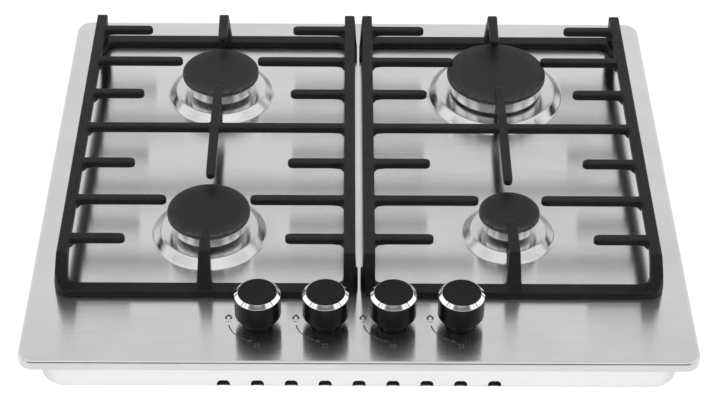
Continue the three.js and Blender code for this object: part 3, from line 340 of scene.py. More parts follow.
def rounded_rectangle(width, depth, radius, steps):
    """The outline of a rounded rectangle round the origin."""
    x = width / 2 - radius
    y = depth / 2 - radius
    corners = ((x, y, 0), (-x, y, 90), (-x, -y, 180), (x, -y, 270))
    outline = []
    for cx, cy, start in corners:
        outline.extend(arc(cx, cy, radius, start, start + 90, steps))
    return outline


def add_ring(mesh, points):
    return [mesh.verts.new(point) for point in points]


def bridge(mesh, lower, upper):
    """Faces between two closed rings of the same count."""
    count = len(lower)
    for i in range(count):
        j = (i + 1) % count
        mesh.faces.new((lower[i], lower[j], upper[j], upper[i]))


def bridge_all(mesh, rings):
    for lower, upper in zip(rings, rings[1:]):
        bridge(mesh, lower, upper)


def closed_block(mesh, rings):
    """A closed block through rings of the same count."""
    bridge_all(mesh, rings)
    mesh.faces.new(rings[0])
    mesh.faces.new(rings[-1])


def pressed_wall(mesh, width, depth, radius, profile, steps):
    """A wall round a rounded rectangle, through a profile of (outset, height) points."""
    rings = []
    for outset, height in profile:
        outline = rounded_rectangle(width + 2 * outset, depth + 2 * outset, radius + outset, steps)
        rings.append(add_ring(mesh, [(x, y, height) for x, y in outline]))
    bridge_all(mesh, rings)
    return rings[-1]


def prism(mesh, outline, low, high):
    """A closed upright block between two heights."""
    rings = [add_ring(mesh, [(x, y, z) for x, y in outline]) for z in (low, high)]
    closed_block(mesh, rings)


def join_rings(mesh, lower, upper):
    """Faces between two rings, either of which may be a single point."""
    if len(lower) == 1 and len(upper) == 1:
        return
    if len(lower) == len(upper):
        bridge(mesh, lower, upper)
        return
    tip, ring = (lower[0], upper) if len(lower) == 1 else (upper[0], lower)
    for i in range(len(ring)):
        mesh.faces.new((tip, ring[i], ring[(i + 1) % len(ring)]))


def revolve(mesh, profile, x, y, z, steps):
    """Turns a profile of (radius, height) points about the vertical line through x, y."""
    first = None
    last = None
    for radius, height in profile:
        if radius == 0:
            ring = [mesh.verts.new((x, y, z + height))]
        else:
            ring = add_ring(mesh, [(*point, z + height) for point in circle(x, y, radius, steps)])
        if last:
            join_rings(mesh, last, ring)
        first = first or ring
        last = ring
    return first, last


def tube(mesh, path, radii, across, sides):
    """A closed round bar along a flat path. The vector across stands square to the path's plane."""
    rings = []
    for i, point in enumerate(path):
        along = (path[min(i + 1, len(path) - 1)] - path[max(i - 1, 0)]).normalized()
        side = along.cross(across)
        spokes = [x * side + y * across for x, y in circle(0, 0, radii[i], sides)]
        rings.append(add_ring(mesh, [point + spoke for spoke in spokes]))
    closed_block(mesh, rings)


def lathe(name, profile, x, y, body, slot, steps):
    """A turned piece that stands on the plate's top face or goes down through it."""
    mesh = bmesh.new()
    revolve(mesh, profile, x, y, PLATE_TOP, steps)
    return smooth(piece(name, mesh, body, slot))


def apply_modifiers(obj):
    """Turns what the modifiers make into the piece's own mesh."""
    graph = bpy.context.evaluated_depsgraph_get()
    plain = obj.data
    finished = bpy.data.meshes.new_from_object(obj.evaluated_get(graph))
    obj.modifiers.clear()
    obj.data = finished
    bpy.data.meshes.remove(plain)


def cut_away(obj, shapes):
    """Cuts closed shapes, a bmesh drawn in millimetres, out of a piece.

    The cut faces take the piece's last material.
    """
    data = in_metres("cutter", shapes)
    for material in obj.data.materials:
        data.materials.append(material)
    for face in data.polygons:
        face.material_index = len(obj.data.materials) - 1
    cutter = place_object("cutter", data)
    cut = obj.modifiers.new("cut", "BOOLEAN")
    cut.operation = "DIFFERENCE"
    cut.solver = "EXACT"
    cut.object = cutter
    apply_modifiers(obj)
    bpy.data.objects.remove(cutter)
    bpy.data.meshes.remove(data)


def thicken(obj, thickness):
    """Gives a single surface its thickness, behind its face."""
    sheet = obj.modifiers.new("sheet", "SOLIDIFY")
    sheet.thickness = thickness * MM
    sheet.offset = -1
    return sheet


# ---------------- material helpers


class Nodes:
    """A small wrapper for a node tree."""

    def __init__(self, tree):
        self.tree = tree

    def feed(self, socket, value):
        """Links a socket to another one, or sets it to a constant."""
        if isinstance(value, bpy.types.NodeSocket):
            self.tree.links.new(value, socket)
        else:
            socket.default_value = value

    def node(self, kind, inputs, **settings):
        """Makes a node. Its inputs are given by name or number, as sockets or constants."""
        made = self.tree.nodes.new(kind)
        for key, value in settings.items():
            setattr(made, key, value)
        for key, value in inputs.items():
            self.feed(made.inputs[key], value)
        return made

    def math(self, operation, first, second=0.0):
        return self.node("ShaderNodeMath", {0: first, 1: second}, operation=operation).outputs[0]

    def ramp(self, value, from_low, from_high, low, high, change="SMOOTHSTEP"):
        """Low at from_low, high at from_high, and a soft change between them."""
        inputs = {"Value": value, "From Min": from_low, "From Max": from_high}
        inputs.update({"To Min": low, "To Max": high})
        return self.node("ShaderNodeMapRange", inputs, interpolation_type=change).outputs["Result"]

    def choose(self, factor, first, second):
        """The first value where the factor is 0 and the second where it is 1."""
        step = self.math("SUBTRACT", second, first)
        return self.math("ADD", first, self.math("MULTIPLY", factor, step))

    def ray(self, kind):
        """1 for one kind of ray."""
        return self.node("ShaderNodeLightPath", {}).outputs[f"Is {kind} Ray"]

    def clear_ray(self):
        """1 for rays from the camera, also those that pass through something."""
        return self.math("MAXIMUM", self.ray("Camera"), self.ray("Transmission"))


class Graph(Nodes):
    """The nodes of one material."""

    def __init__(self, name):
        self.material = bpy.data.materials.new(name)
        self.material.use_nodes = True
        super().__init__(self.material.node_tree)
        self.shader = self.tree.nodes["Principled BSDF"]

    def set(self, name, value):
        """Feeds one of the shader's inputs."""
        self.feed(self.shader.inputs[name], value)

    def coordinates(self, stretch):
        """Object coordinates stretched by a factor for each axis."""
        inputs = {0: self.node("ShaderNodeTexCoord", {}).outputs["Object"], 1: stretch}
        return self.node("ShaderNodeVectorMath", inputs, operation="MULTIPLY").outputs[0]

    def noise(self, scale, detail, roughness=0.55, stretch=(1, 1, 1)):
        inputs = {"Vector": self.coordinates(stretch), "Scale": scale}
        inputs.update({"Detail": detail, "Roughness": roughness})
        return self.node("ShaderNodeTexNoise", inputs).outputs["Fac"]

    def warped_noise(self, scale, drift_scale, drift, stretch):
        """Cloudy noise pulled about by a second, larger noise."""
        inputs = {"Vector": self.coordinates((1, 1, 1)), "Scale": drift_scale}
        large = self.node("ShaderNodeTexNoise", inputs).outputs["Color"]
        inputs = {0: large, 1: (drift, drift, drift), 2: self.coordinates(stretch)}
        pulled = self.node("ShaderNodeVectorMath", inputs, operation="MULTIPLY_ADD").outputs[0]
        inputs = {"Vector": pulled, "Scale": scale, "Detail": 5}
        return self.node("ShaderNodeTexNoise", inputs).outputs["Fac"]

    def spread(self, source, low=0, high=1, from_low=0.3, from_high=0.7):
        """Maps a texture's middle range on to low to high."""
        return self.ramp(source, from_low, from_high, low, high, "LINEAR")

    def blend(self, factor, first, second, kind="MIX"):
        """Blends two colours by a factor."""
        inputs = {"Factor": factor, "A": first, "B": second}
        mixed = self.node("ShaderNodeMix", inputs, data_type="RGBA", blend_type=kind)
        return mixed.outputs["Result"]

    def outer_edges(self, from_low, from_high):
        """0 on the flats, 1 on the outer edges."""
        pointed = self.node("ShaderNodeNewGeometry", {}).outputs["Pointiness"]
        return self.spread(pointed, 0, 1, from_low, from_high)

    def tangent(self, *across):
        """Turns the shader's grain: the cross product of the normal with each vector in turn.

        None stands for the product before it.
        """
        normal = self.node("ShaderNodeNewGeometry", {}).outputs["Normal"]
        turned = normal
        for vector in across:
            inputs = {0: normal, 1: turned if vector is None else vector}
            cross = self.node("ShaderNodeVectorMath", inputs, operation="CROSS_PRODUCT")
            turned = cross.outputs[0]
        self.set("Tangent", turned)

    def bump(self, height, strength, distance, normal=None):
        inputs = {"Height": height, "Strength": strength, "Distance": distance}
        if normal:
            inputs["Normal"] = normal
        return self.node("ShaderNodeBump", inputs).outputs["Normal"]


def grey(level, blue=0.0):
    """An opaque grey, with a little more or less blue."""
    return (level, level, level + blue, 1)


def shade(color, factor):
    """A paler or darker opaque colour."""
    return (*(min(1.0, channel * factor) for channel in color[:3]), 1)


def surface(
    name,
    color,
    roughness,
    metallic=0,
    blotch=0.1,
    blotch_scale=35,
    rough_vary=0.06,
    grain_scale=900,
    grain_strength=0.15,
    grain_depth=0.0002,
    specular=0.5,
):
    """A surface with cloudy colour, uneven gloss and a fine grain."""
    g = Graph(name)
    cloud = g.spread(g.noise(blotch_scale, 4))
    g.set("Base Color", g.blend(cloud, shade(color, 1 - blotch), shade(color, 1 + blotch)))
    uneven = g.noise(blotch_scale * 4, 4)
    g.set("Roughness", g.spread(uneven, roughness - rough_vary, roughness + rough_vary))
    g.set("Normal", g.bump(g.noise(grain_scale, 2), grain_strength, grain_depth))
    g.set("Metallic", metallic)
    g.set("Specular IOR Level", specular)
    return g.material


# ---------------- materials


STEEL = (0.70, 0.70, 0.702)
ZINC = (0.55, 0.56, 0.57)


def brushed_steel():
    """Sheet steel brushed from left to right: reflections stay sharp sideways and smear across."""
    g = Graph("brushed_steel")
    lines = g.noise(1, 3, 0.6, stretch=(14, 900, 900))
    waves = g.warped_noise(9, drift_scale=6.3, drift=0.22, stretch=(1, 1.7, 1))
    tone = g.blend(g.spread(lines), shade(STEEL, 0.975), shade(STEEL, 1.025))
    cloudy = g.blend(g.spread(waves), grey(0.92), grey(1.0))
    g.set("Base Color", g.blend(1, tone, cloudy, "MULTIPLY"))
    g.set("Roughness", g.spread(waves, 0.185, 0.16))
    g.set("Metallic", 1)
    g.set("Anisotropic", 1.0)
    g.tangent((1, 0, 0))
    fine = g.bump(g.noise(1, 2, 0.5, stretch=(40, 2600, 2600)), 0.12, 0.00005)
    g.set("Normal", g.bump(lines, 0.9, 0.00005, fine))
    return g.material


def turned_aluminium():
    """Bright turned aluminium: reflections smear up and down the ring's wall."""
    g = Graph("turned_aluminium")
    g.set("Base Color", g.blend(g.spread(g.noise(90, 4)), grey(0.87, 0.005), grey(0.93, 0.005)))
    g.set("Roughness", g.spread(g.noise(200, 3), 0.15, 0.19))
    g.set("Metallic", 1)
    g.set("Anisotropic", 1.0)
    g.tangent((0, 0, 1), None)
    return g.material


def cap_enamel():
    """Satin black enamel, with a painted highlight: a paler line over the rim."""
    g = Graph("cap_enamel")
    # A paler line on the sharp rim, broken up by noise: a painted highlight.
    painted_rim_highlight = g.math("MULTIPLY", g.outer_edges(0.505, 0.53), g.spread(g.noise(220, 3), 0.2, 1.0))
    cloud = g.blend(g.spread(g.noise(60, 4)), grey(0.0082, 0.0002), grey(0.0115, 0.0002))
    g.set("Base Color", g.blend(painted_rim_highlight, cloud, grey(0.11, 0.001)))
    g.set("Roughness", g.spread(g.noise(240, 4), 0.41, 0.51))
    g.set("Normal", g.bump(g.noise(1300, 2), 0.18, 0.0002))
    g.set("Specular IOR Level", 0.22)
    return g.material


def cast_enamel():
    """Matt black enamel on cast iron: fine orange peel, dust specks and paler edges, partly worn
    and partly a painted highlight.
    """
    g = Graph("cast_enamel")
    # Paler edges, broken up by noise: partly worn enamel, partly a painted highlight.
    worn_and_highlit_edges = g.math("MULTIPLY", g.outer_edges(0.52, 0.60), g.spread(g.noise(160, 4), 0.05, 0.75))
    cloud = g.blend(g.spread(g.noise(40, 4)), grey(0.0065, 0.0002), grey(0.0105, 0.0003))
    specks = g.spread(g.noise(1400, 1), 0, 1, 0.70, 0.78)
    dusty = g.blend(specks, cloud, grey(0.16))
    g.set("Base Color", g.blend(worn_and_highlit_edges, dusty, grey(0.05, 0.001)))
    g.set("Roughness", g.spread(g.noise(90, 3), 0.42, 0.56))
    peel = g.bump(g.noise(520, 2), 0.25, 0.0004)
    g.set("Normal", g.bump(g.noise(1900, 2), 0.15, 0.0002, peel))
    g.set("Specular IOR Level", 0.2)
    return g.material


MATERIALS = {
    "plate": brushed_steel(),
    "pan": surface(
        "painted_sheet", grey(0.84, -0.005), 0.45,
        blotch=0.015, blotch_scale=12, rough_vary=0.05, grain_scale=700, grain_strength=0.05,
    ),
    # The pan's inside is near black: painted shade, so that what the vents show stays dark.
    "pan_inside": surface(
        "pan_inside_painted_shade", grey(0.06), 0.6,
        blotch=0.15, blotch_scale=40, rough_vary=0.05, grain_scale=700, grain_strength=0.05,
    ),
    "ink": surface(
        "printed_ink", grey(0.10), 0.6, specular=0.2,
        blotch=0.06, blotch_scale=300, rough_vary=0.04, grain_scale=1500, grain_strength=0.05,
    ),
    "seal": surface(
        "foam", grey(0.035, 0.003), 0.92, grain_depth=0.0005,
        blotch=0.2, blotch_scale=300, rough_vary=0.04, grain_scale=1500, grain_strength=0.6,
    ),
    "clamp": surface(
        "zinc_sheet", ZINC, 0.36, metallic=1,
        blotch=0.12, blotch_scale=120, rough_vary=0.08, grain_scale=600, grain_strength=0.1,
    ),
    "rail": surface(
        "zinc_tube", ZINC, 0.34, metallic=1,
        blotch_scale=90, rough_vary=0.08, grain_scale=600, grain_strength=0.1,
    ),
    "pipe": surface(
        "drawn_aluminium", grey(0.74, 0.01), 0.3, metallic=1,
        blotch=0.06, blotch_scale=90, grain_strength=0.08,
    ),
    "brass": surface(
        "machined_brass", (0.62, 0.47, 0.2), 0.28, metallic=1,
        blotch=0.08, blotch_scale=160, grain_scale=1200, grain_strength=0.1,
    ),
    "spark_box": surface(
        "box_plastic", grey(0.72, -0.03), 0.5,
        blotch=0.03, blotch_scale=60, rough_vary=0.05, grain_scale=1200, grain_strength=0.12,
    ),
    "burner_casting": surface(
        "die_cast", grey(0.42, 0.01), 0.45, metallic=1,
        blotch=0.12, blotch_scale=200, rough_vary=0.1, grain_scale=1500, grain_strength=0.25,
    ),
    "crown": turned_aluminium(),
    "cap": cap_enamel(),
    "pan_support": cast_enamel(),
    "ceramic": surface(
        "glazed_ceramic", (0.82, 0.80, 0.76), 0.22,
        blotch=0.03, blotch_scale=200, rough_vary=0.05, grain_strength=0.05,
    ),
    "sensor": surface(
        "copper_tip", (0.6, 0.36, 0.25), 0.32, metallic=1,
        blotch=0.12, blotch_scale=300, rough_vary=0.08, grain_scale=1200, grain_strength=0.1,
    ),
    "valve": surface(
        "valve_casting", grey(0.5, 0.01), 0.42, metallic=1,
        blotch_scale=150, rough_vary=0.08, grain_scale=1200, grain_strength=0.2,
    ),
    "spindle": surface(
        "ground_steel", grey(0.5, 0.01), 0.25, metallic=1,
        blotch=0.05, blotch_scale=200, rough_vary=0.05, grain_scale=1500, grain_strength=0.1,
    ),
    "knob": surface(
        "knob_plastic", grey(0.0035, 0.0002), 0.26, specular=0.15, grain_depth=0.0001,
        blotch_scale=90, rough_vary=0.04, grain_scale=2200, grain_strength=0.1,
    ),
    "knob_ring": surface(
        "bright_chrome", grey(0.93, 0.01), 0.06, metallic=1, grain_depth=0.0001,
        blotch=0.01, blotch_scale=90, rough_vary=0.02, grain_strength=0.01,
    ),
}

# The material of each kind of node, found by the longest beginning of its name.
SLOT_OF = {
    "edge_seal": "seal",
    "clamp": "clamp",
    "gas_rail": "rail",
    "gas_inlet": "brass",
    "gas_pipe": "pipe",
    "spark_generator": "spark_box",
    "burner_base": "burner_casting",
    "burner_crown": "crown",
    "burner_cap": "cap",
    "jet": "brass",
    "electrode": "ceramic",
    "flame_sensor": "sensor",
    "valve_plug": "brass",
    "valve": "valve",
    "spindle": "spindle",
    "knob_ring": "knob_ring",
    "knob": "knob",
    "grate": "pan_support",
    "hob_top": "plate",
    "base_pan": "pan",
}


def dress_frame():
    """Gives every node of the frame its finish, also where a finer piece stands for it."""
    for name, obj in frame["nodes"].items():
        kind = max((key for key in SLOT_OF if name.startswith(key)), key=len)
        obj.data.materials.clear()
        obj.data.materials.append(MATERIALS[SLOT_OF[kind]])


# ---------------- plate


def burner_facts(name):
    middle = centre_mm(f"burner_cap_{name}")
    return middle.x, middle.y, SIZES[SIZE_OF[name]]


def boss_profile(size):
    """The sheet from the foot of a boss up its slope to the edge of the hub's hole."""
    foot = size["boss"] + BOSS_EDGE
    rim = size["boss"] - BOSS_SLOPE - BOSS_EDGE
    hole = size["hub"] + HUB_CLEARANCE
    lean = math.degrees(math.atan2(BOSS_HEIGHT, BOSS_SLOPE))
    curve = BOSS_EDGE / math.tan(math.radians(lean / 2))
    points = arc(foot, curve, curve, 270, 270 - lean, 5)
    points += arc(rim, BOSS_HEIGHT - curve, curve, 90 - lean, 90, 5)
    points += [(hole + HUB_HOLE_MARGIN, BOSS_HEIGHT), (hole, BOSS_HEIGHT)]
    return points


def probe_holes():
    """Round cutters through the bosses for the electrodes and the flame sensors."""
    holes = bmesh.new()
    for name in BURNERS:
        for probe, radius in (("electrode", ELECTRODE_RADIUS), ("flame_sensor", SENSOR_RADIUS)):
            where = centre_mm(f"{probe}_{name}")
            outline = circle(where.x, where.y, radius + PROBE_CLEARANCE, steps=28)
            prism(holes, outline, PLATE_TOP, PLATE_HIGH.z + PLATE_SHEET)
    return holes


def plate():
    """One sheet: the bent rim, the flat, four bosses, the knobs' holes and the probes' holes."""
    mesh = bmesh.new()
    bend = PLATE_BEND_RADIUS
    profile = [(0, -PLATE_LIP)] + arc(-bend, -bend, bend, 0, 90, 6) + [(-bend - BEND_MARGIN, 0)]
    profile = [(outset, PLATE_TOP + height) for outset, height in profile]
    rim = pressed_wall(mesh, PLATE_WIDTH, PLATE_DEPTH, PLATE_CORNER_RADIUS, profile, steps=14)
    borders = [rim]
    hole = KNOB_NECK_RADIUS + NECK_CLEARANCE
    for name in BURNERS:
        x, y, size = burner_facts(name)
        boss_foot, _ = revolve(mesh, boss_profile(size), x, y, PLATE_TOP, FINE_SIDES)
        borders.append(boss_foot)
        knob_at = centre_mm(f"knob_{name}")
        margin = [(hole + KNOB_HOLE_MARGIN, 0), (hole, 0)]
        hole_margin, _ = revolve(mesh, margin, knob_at.x, knob_at.y, PLATE_TOP, steps=64)
        borders.append(hole_margin)
    open_edges = []
    for ring in borders:
        for i in range(len(ring)):
            open_edges.append(mesh.edges.get((ring[i], ring[(i + 1) % len(ring)])))
    bmesh.ops.triangle_fill(mesh, use_beauty=True, edges=open_edges)
    obj = piece("pressed_plate", mesh, "hob", "plate")
    thicken(obj, PLATE_SHEET)
    cut_away(obj, probe_holes())
    smooth(obj)
    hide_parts("hob_top")


# ---------------- base pan


def vent_shape(mesh, x):
    """A rounded block on the slant that passes through the bend at the foot of the front wall."""
    slant = math.sqrt(0.5)
    front = -PAN_LENGTH / 2
    top = VENT_RISE * slant
    bottom = -VENT_UNDERCUT * slant
    outline = rounded_rectangle(VENT_LENGTH, top - bottom, VENT_CORNER_RADIUS, steps=8)
    middle = (top + bottom) / 2
    rings = []
    for reach in (VENT_CUT_OUT, -VENT_CUT_IN):
        points = []
        for across, rise in outline:
            height = rise + middle
            y = front - slant * height - slant * reach
            z = PAN_LOW.z + slant * height - slant * reach
            points.append((x + across, y, z))
        rings.append(add_ring(mesh, points))
    closed_block(mesh, rings)


def inlet_hole_shape(mesh):
    """A round cutter through the back wall where the gas inlet passes."""
    inlet_at = centre_mm("gas_inlet")
    back = PAN_LENGTH / 2
    outline = circle(inlet_at.x, inlet_at.z, INLET_HOLE_RADIUS, steps=32)
    rings = []
    for y in (back - 2 * PAN_SHEET, back + PAN_SHEET):
        rings.append(add_ring(mesh, [(x, y, z) for x, z in outline]))
    closed_block(mesh, rings)


def base_pan():
    """One pressed sheet: flange, walls, a soft bend and the bottom, with nine vents in front."""
    mesh = bmesh.new()
    under_flange = PAN_HIGH.z - PAN_SHEET
    fold = PAN_FLANGE_BEND
    bend = PAN_BEND_RADIUS
    profile = [(PAN_FLANGE, under_flange)]
    profile += arc(fold, under_flange - fold, fold, 90, 180, 4)
    profile += [(x, PAN_LOW.z + y) for x, y in arc(-bend, bend, bend, 0, -90, 10)]
    bottom = pressed_wall(mesh, PAN_WIDTH, PAN_LENGTH, PAN_CORNER_RADIUS, profile, steps=12)
    mesh.faces.new(bottom)
    obj = piece("pressed_pan", mesh, "hob", "pan")
    # The inside, and the vents' cut faces, take the near-black painted shade.
    obj.data.materials.append(MATERIALS["pan_inside"])
    obj.data.flip_normals()
    thicken(obj, PAN_SHEET).material_offset = 1
    holes = bmesh.new()
    for i in range(VENT_COUNT):
        vent_shape(holes, (i - (VENT_COUNT - 1) / 2) * VENT_PITCH)
    inlet_hole_shape(holes)
    cut_away(obj, holes)
    smooth(obj, sharp_angle=30)
    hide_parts("base_pan")


# ---------------- clamps

# Which way, and how far in sheet thicknesses, the strip's outer face lies from each point of the
# line along its inner face: the wall's top, six points round the fold, the lip's bend and its end.
CLAMP_SIDESTEPS = (
    (1, 0),
    (1, 0.1), (1, 0.3), (0.7, 0.7), (0.4, 0.9), (0.1, 1), (0, 1),
    (-0.4, 1),
    (-0.7, 0.7),
)


def clamp(name):
    """A spring strip on the pan's side wall with a turned-out lip, and the screw that holds it."""
    node = f"clamp_{name}"
    low, high = box_mm(node)
    side = 1 if low.x > 0 else -1
    wall = PAN_WIDTH / 2
    fold = CLAMP_FOLD
    reach = min(high.x - low.x, PLATE_HIGH.x - wall - CLAMP_EDGE_GAP)
    line = [(CLAMP_GAP, high.z)]
    line += arc(fold + CLAMP_GAP, low.z + fold, fold, 180, 270, 5)
    line += [(reach - CLAMP_LIP_RUN, low.z), (reach, low.z + CLAMP_LIP_RISE)]
    other = []
    for (x, z), (dx, dz) in zip(line, CLAMP_SIDESTEPS):
        other.append((x + CLAMP_SHEET * dx, z + CLAMP_SHEET * dz))
    outline = line + other[::-1]
    mesh = bmesh.new()
    rings = []
    for y in (low.y, high.y):
        rings.append(add_ring(mesh, [(side * (wall + x), y, z) for x, z in outline]))
    closed_block(mesh, rings)
    strip = smooth(piece(f"clamp_strip_{name}", mesh, "hob", "clamp"), sharp_angle=30)
    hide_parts(node)
    screw_at = (
        side * (wall + CLAMP_SHEET + CLAMP_GAP), (low.y + high.y) / 2,
        (low.z + high.z) / 2 + SCREW_LIFT
    )
    screw(name, screw_at, side)


def screw(name, where, side):
    """A round screw head that points outward from the pan's side wall."""
    dome = SCREW_DOME_RADIUS
    profile = [(0, 0), (SCREW_RADIUS, 0), (SCREW_RADIUS, SCREW_EDGE)]
    profile += arc(SCREW_RADIUS - dome, SCREW_EDGE, dome, 0, 90, 5)[1:]
    profile += [(0, SCREW_EDGE + dome)]
    mesh = bmesh.new()
    revolve(mesh, profile, 0, 0, 0, steps=28)
    turn = Matrix.Rotation(side * math.pi / 2, 4, "Y")
    bmesh.ops.transform(mesh, matrix=Matrix.Translation(where) @ turn, verts=mesh.verts)
    smooth(piece(f"clamp_screw_{name}", mesh, "hob", "spindle"))


# ---------------- printed marks


def flame_line(x, y, scale):
    """The centre line of a small open flame: round sides that meet in a point."""
    half = []
    for i in range(FLAME_STEPS + 1):
        t = i / FLAME_STEPS
        u = 1 - t
        weights = (u * u * u, 3 * u * u * t, 3 * u * t * t, t * t * t)
        px = sum(weight * corner[0] for weight, corner in zip(weights, FLAME_CURVE))
        py = sum(weight * corner[1] for weight, corner in zip(weights, FLAME_CURVE))
        half.append((px, py))
    line = half + [(-px, py) for px, py in reversed(half[:-1])]
    return [(x + scale * px, y + scale * py) for px, py in line]


def stroke(mesh, line, widths, low):
    """A drawn line of changing width."""
    left = []
    right = []
    for i, (x, y) in enumerate(line):
        before = line[max(i - 1, 0)]
        after = line[min(i + 1, len(line) - 1)]
        dx = after[0] - before[0]
        dy = after[1] - before[1]
        reach = widths[i] / 2 / math.hypot(dx, dy)
        left.append((x - dy * reach, y + dx * reach))
        right.append((x + dy * reach, y - dx * reach))
    prism(mesh, left + right[::-1], low, low + INK_DEPTH)


def flame_mark(mesh, where, scale, width, low):
    line = flame_line(*where, scale)
    stroke(mesh, line, [width] * len(line), low)


def spark_mark(mesh, where, low):
    """A small kite between two dots."""
    x, y = where
    kite = [(x - SPARK_HALF_WIDTH, y), (x, y - SPARK_TAIL)]
    kite += [(x + SPARK_HALF_WIDTH, y), (x, y + SPARK_HALF_TOP)]
    prism(mesh, kite, low, low + INK_DEPTH)
    for side in (-1, 1):
        dot = circle(x + side * SPARK_DOT_AT[0], y + SPARK_DOT_AT[1], SPARK_DOT_RADIUS, steps=12)
        prism(mesh, dot, low, low + INK_DEPTH)


def sweep_mark(mesh, knob_at, low):
    """An arc round the knob that grows thinner."""
    line = []
    widths = []
    for i in range(SWEEP_STEPS + 1):
        t = i / SWEEP_STEPS
        radius = SWEEP_START[0] + (SWEEP_END[0] - SWEEP_START[0]) * t
        angle = math.radians(SWEEP_START[1] + (SWEEP_END[1] - SWEEP_START[1]) * t)
        line.append((knob_at.x + radius * math.cos(angle), knob_at.y + radius * math.sin(angle)))
        widths.append(SWEEP_START_WIDTH + (SWEEP_END_WIDTH - SWEEP_START_WIDTH) * t)
    stroke(mesh, line, widths, low)


def four_dots_mark(mesh, where, burner_at, low):
    """Four small circles, the burner's own one filled."""
    for column in (-1, 1):
        for row in (-1, 1):
            own = (column > 0) == (burner_at.x > 0) and (row > 0) == (burner_at.y > 0)
            x = where[0] + column * DOT_PITCH_X / 2
            y = where[1] + row * DOT_PITCH_Y / 2
            if own:
                prism(mesh, circle(x, y, DOT_RADIUS, steps=24), low, low + INK_DEPTH)
            else:
                line = arc(x, y, DOT_RADIUS - DOT_LINE_INSET, 0, 350, steps=24)
                stroke(mesh, line, [DOT_LINE] * len(line), low)


def printed_marks(name):
    """Flame with a spark, a sweep down to a small flame, and the burner's place among four."""
    mesh = bmesh.new()
    knob_at = centre_mm(f"knob_{name}")
    low = PLATE_TOP + INK_GAP

    def place(point):
        return knob_at.x + point[0], knob_at.y + point[1]

    flame_mark(mesh, place(FLAME_AT), FLAME_SCALE, FLAME_LINE, low)
    flame_mark(mesh, place(SMALL_FLAME_AT), SMALL_FLAME_SCALE, SMALL_FLAME_LINE, low)
    spark_mark(mesh, place(SPARK_AT), low)
    sweep_mark(mesh, knob_at, low)
    four_dots_mark(mesh, place(FOUR_DOTS_AT), centre_mm(f"burner_cap_{name}"), low)
    piece(f"printed_marks_{name}", mesh, "hob", "knob", MATERIALS["ink"])


# ---------------- burners


def cap(name):
    """A flat disc with a round shoulder, a drip edge and a spigot that centres it."""
    x, y, size = burner_facts(name)
    radius = size["cap"]
    under = CAP_TOP - CAP_THICKNESS
    spigot = radius - CAP_OVERHANG - CROWN_WALL - CROWN_STEP - SPIGOT_CLEARANCE
    spigot_foot = under - CAP_SPIGOT_DEPTH
    inside = radius - CAP_DRIP_WIDTH
    drip = under - CAP_DRIP
    curve = CAP_DRIP_ROUND
    profile = [(0, spigot_foot), (spigot, spigot_foot), (spigot, under), (inside, under)]
    profile += [(inside + curve, drip + CAP_DRIP_LEAN)]
    profile += arc(radius - curve, drip + curve, curve, 270, 360, 3)
    profile += arc(radius - CAP_SHOULDER, CAP_TOP - CAP_SHOULDER, CAP_SHOULDER, 0, 90, 6)
    profile += [(radius * CAP_INNER_SHARE, CAP_TOP), (0, CAP_TOP)]
    obj = lathe(f"enamel_cap_{name}", profile, x, y, f"cap_{name}", "cap", steps=112)
    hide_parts(f"burner_cap_{name}")


def crown_teeth(mesh, outside, inside, top):
    """Teeth on the ring between two loops of points, with a gas port after each tooth."""
    count = len(outside)
    outside_top = add_ring(mesh, [(v.co.x, v.co.y, top) for v in outside])
    inside_top = add_ring(mesh, [(v.co.x, v.co.y, top) for v in inside])
    for i in range(count):
        j = (i + 1) % count
        place = i % STEPS_PER_PORT
        if place == STEPS_PER_PORT - 1:
            mesh.faces.new((outside[i], outside[j], inside[j], inside[i]))
            continue
        mesh.faces.new((outside_top[i], outside_top[j], inside_top[j], inside_top[i]))
        mesh.faces.new((outside[i], outside[j], outside_top[j], outside_top[i]))
        mesh.faces.new((inside[i], inside[j], inside_top[j], inside_top[i]))
        if place == 0:
            mesh.faces.new((outside[i], inside[i], inside_top[i], outside_top[i]))
        if place == STEPS_PER_PORT - 2:
            mesh.faces.new((outside[j], inside[j], inside_top[j], outside_top[j]))


def crown(name):
    """The bright ring: a plain band, a step and above it the teeth between the gas ports."""
    x, y, size = burner_facts(name)
    outer = size["cap"] - CAP_OVERHANG
    foot = size["foot"]
    rim = outer - CROWN_STEP
    bore = rim - CROWN_WALL
    throat = CROWN_THROAT_RADIUS
    bottom = BOSS_HEIGHT + CROWN_LIFT
    cup = foot + CROWN_FLOOR
    sill = CROWN_BAND_TOP + PORT_SILL
    steps = size["ports"] * STEPS_PER_PORT
    mesh = bmesh.new()
    profile = [(throat, bottom), (outer - CROWN_BASE_INSET, bottom)]
    profile += [(outer - CROWN_FOOT_EDGE, foot), (outer, foot + CROWN_FOOT_EDGE)]
    profile += [(outer, CROWN_BAND_TOP - CROWN_BAND_EDGE)]
    profile += [(outer - CROWN_BAND_EDGE, CROWN_BAND_TOP), (rim, CROWN_BAND_TOP), (rim, sill)]
    _, outside = revolve(mesh, profile, x, y, PLATE_TOP, steps)
    profile = [(throat, bottom), (throat, cup), (bore, cup), (bore, sill)]
    _, inside = revolve(mesh, profile, x, y, PLATE_TOP, steps)
    crown_teeth(mesh, outside, inside, PLATE_TOP + CAP_TOP - CAP_THICKNESS - SEAT)
    loose = [vertex for vertex in mesh.verts if not vertex.link_faces]
    bmesh.ops.delete(mesh, geom=loose, context="VERTS")
    bmesh.ops.remove_doubles(mesh, verts=mesh.verts, dist=MERGE_DISTANCE)
    obj = piece(f"bright_crown_{name}", mesh, f"crown_{name}", "crown")
    smooth(obj, sharp_angle=30)
    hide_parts(f"burner_crown_{name}")


